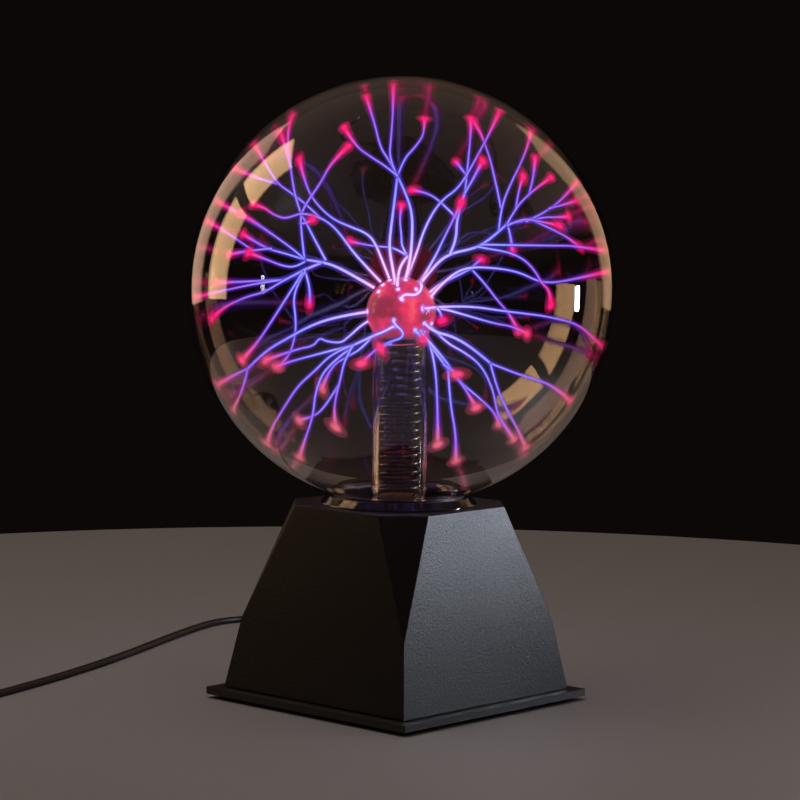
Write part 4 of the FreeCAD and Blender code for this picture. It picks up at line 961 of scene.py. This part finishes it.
# %% [markdown]
# The controls sit on the sloping rear panel. A seat's matrix has X along the panel, Y down it and
# Z straight out, so a piece can be made flat and then placed. Only the knob and the plug are made
# anew; the socket, switch and microphone keep the frame's own shapes.

# %% Seats on the rear panel
PANEL_LEAN = math.atan2(PANEL_NORMAL.z, PANEL_NORMAL.y)
ROW_Y = 55.5835
ROW_HEIGHT = 22.0


def panel_seat(x):
    """The matrix of a seat in the row of controls, on the rear panel's outer face."""
    return Matrix.Translation((x, ROW_Y, ROW_HEIGHT)) @ Matrix.Rotation(PANEL_LEAN - math.pi / 2, 4, "X")


knob_seat = panel_seat(28.0)
plug_seat = panel_seat(-22.0)
print("panel leans", round(math.degrees(PANEL_LEAN), 2), "degrees")

# %% [markdown]
# The knob sets how strong the discharge is. It starts as a cone, every third side face is pushed
# out for grip, and its top is sunk a little. A white line shows where it points. Both ride on the
# knob's own body, so they turn together.

# %% Level knob
knob_finish = moulded("knob_black", (0.010, 0.010, 0.010), (0.024, 0.024, 0.025), 0.30, grain=0.5,
                      depth=0.012)
knob_mesh = bmesh.new()
bmesh.ops.create_cone(knob_mesh, cap_ends=True, segments=72, radius1=8.7 * MM, radius2=8.2 * MM,
                      depth=12.0 * MM, matrix=Matrix.Translation((0, 0, 7.0 * MM)))
ribs = []
for face in knob_mesh.faces:
    middle = face.calc_center_median()
    if len(face.verts) == 4 and round(math.degrees(math.atan2(middle.y, middle.x)) / 5) % 3 == 0:
        ribs.append(face)
for face in bmesh.ops.extrude_discrete_faces(knob_mesh, faces=ribs)["faces"]:
    middle = face.calc_center_median()
    push = Vector((middle.x, middle.y, 0)).normalized() * 0.28 * MM
    bmesh.ops.translate(knob_mesh, verts=face.verts, vec=push)
top = [face for face in knob_mesh.faces if face.normal.z > 0.9 and len(face.verts) > 4]
stepped(knob_mesh, top, ((1.1, 0.0), (0.4, -0.4)))
finished("level_dial", moved(knob_mesh, knob_seat), knob_finish, body="knob",
         stands_for="level_knob", crease=35.0)

pointer_finish = moulded("pointer_white", (0.70, 0.70, 0.68), (0.80, 0.80, 0.78), 0.4, grain=0.6,
                         depth=0.004)
pointer_mesh = bmesh.new()
bmesh.ops.create_cube(pointer_mesh, size=1.0, matrix=Matrix.Translation((0, -4.6 * MM, 12.62 * MM))
                      @ Matrix.Diagonal((1.0 * MM, 4.0 * MM, 0.18 * MM, 1.0)))
bmesh.ops.bevel(pointer_mesh, geom=pointer_mesh.edges[:], offset=0.06 * MM, segments=2, profile=0.5,
                affect="EDGES", material=-1)
finished("dial_pointer", moved(pointer_mesh, knob_seat), pointer_finish, body="knob")

# %% [markdown]
# The lead's plug has a moulded grip that narrows to a ribbed strain relief, so the cable can't be
# bent sharply where it leaves. It is turned from its outline, rings and all.

# %% Plug grip
lead_finish = moulded("lead_black", (0.010, 0.010, 0.010), (0.020, 0.020, 0.021), 0.38, grain=0.5,
                      depth=0.006)
lead.data.materials.append(lead_finish)
grip_outline = [(2.9, 1.95), (4.9, 1.95), (5.15, 2.5), (5.15, 7.0), (4.75, 7.6), (4.75, 9.0), (5.15, 9.6),
                (5.15, 11.0), (4.75, 11.6), (4.75, 13.0), (5.15, 13.6), (5.15, 17.5), (4.6, 18.6)]
radius, place = 4.4, 19.4
while place < 36.5:
    grip_outline += [(radius, place), (radius, place + 1.5), (radius - 0.75, place + 1.9),
                     (radius - 0.75, place + 2.7)]
    place += 3.1
    radius -= 0.34
grip_outline += [(2.3, 37.95), (1.76, 37.95), (1.76, 30.0), (1.76, 1.95)]
finished("plug_grip", moved(turned(grip_outline, steps=64), plug_seat), lead_finish,
         stands_for="plug_body", crease=28.0)
print("strain relief of", len(grip_outline) // 4, "rings")

# %% [markdown]
# The wall adapter keeps its shape from the frame and only gets a finish.

# %% Adapter finish
adapter_finish = moulded("adapter_black", (0.011, 0.011, 0.011), (0.024, 0.024, 0.025), 0.42,
                         grain=0.6, depth=0.03)

# %% [markdown]
# The other frame nodes already have the right shape and only need a finish. Two tables describe
# each finish once, and list the nodes that wear it. Most of them are inside the casing.

# %% Finishes for the frame's own nodes
# name, dark colour, light colour, gloss, stretch of the marks, the nodes that wear it
METALS = (
    ("bright_nickel", (0.55, 0.54, 0.51), (0.78, 0.77, 0.74), 0.16, (1.0, 1.0, 5.0),
     ("jack_nut", "plug_barrel", "control_nut", "control_shaft", "adapter_blades")),
    ("zinc_screw", (0.40, 0.41, 0.42), (0.66, 0.67, 0.68), 0.24, (1.0, 1.0, 1.0),
     ("base_screws", "board_screws", "transistor_screw", "switch_screws")),
    ("brass", (0.50, 0.33, 0.10), (0.78, 0.56, 0.24), 0.22, (1.0, 1.0, 5.0), ("spring_terminal",)),
    ("milled_aluminium", (0.52, 0.53, 0.54), (0.74, 0.75, 0.76), 0.30, (1.0, 8.0, 1.0),
     ("heat_sink", "microphone")),
)
# name, dark colour, light colour, gloss, size of the grain, its depth, the nodes that wear it
PLASTICS = (
    ("grey_silicone", (0.22, 0.22, 0.21), (0.32, 0.32, 0.31), 0.5, 1.5, 0.02, ("stem_stopper",)),
    ("red_silicone", (0.30, 0.012, 0.010), (0.46, 0.030, 0.022), 0.42, 1.2, 0.02,
     ("high_voltage_lead",)),
    ("board_green", (0.010, 0.085, 0.040), (0.022, 0.135, 0.065), 0.28, 0.9, 0.015,
     ("circuit_board",)),
    ("ferrite", (0.020, 0.019, 0.018), (0.050, 0.048, 0.045), 0.55, 0.5, 0.03,
     ("flyback_core", "choke")),
    ("black_potting", (0.012, 0.011, 0.010), (0.030, 0.028, 0.026), 0.20, 3.0, 0.05,
     ("flyback_winding",)),
    ("component_black", (0.012, 0.012, 0.013), (0.030, 0.030, 0.032), 0.36, 0.7, 0.02,
     ("power_transistor", "capacitors", "control_chip", "resistors")),
    ("wire_insulation", (0.33, 0.022, 0.018), (0.44, 0.035, 0.028), 0.36, 1.0, 0.01,
     ("jack_wires", "switch_wires", "control_wires", "microphone_wires")),
    ("control_black", (0.010, 0.010, 0.010), (0.022, 0.022, 0.023), 0.32, 0.5, 0.01,
     ("collar_nut", "power_jack", "control_body", "microphone_sleeve", "switch_body")),
    ("tie_black", 0.012, 0.026, 0.34, 0.8, 0.01, ("cord_tie",)),
    ("slider_white", (0.60, 0.60, 0.58), (0.72, 0.72, 0.70), 0.34, 0.5, 0.01, ("switch_slider",)),
)
worn = [(stem_glass, ("exhaust_pip",)), (seal_finish, ("globe_seal",)),
        (adapter_finish, ("adapter_case", "adapter_relief"))]
worn += [(metal(*row[:-1]), row[-1]) for row in METALS]
worn += [(moulded(*row[:-1]), row[-1]) for row in PLASTICS]
for finish, wearers in worn:
    for node in wearers:
        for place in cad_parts[node].material_slots:
            place.material = finish
print("nodes with a finish:", sum(len(wearers) for _, wearers in worn))
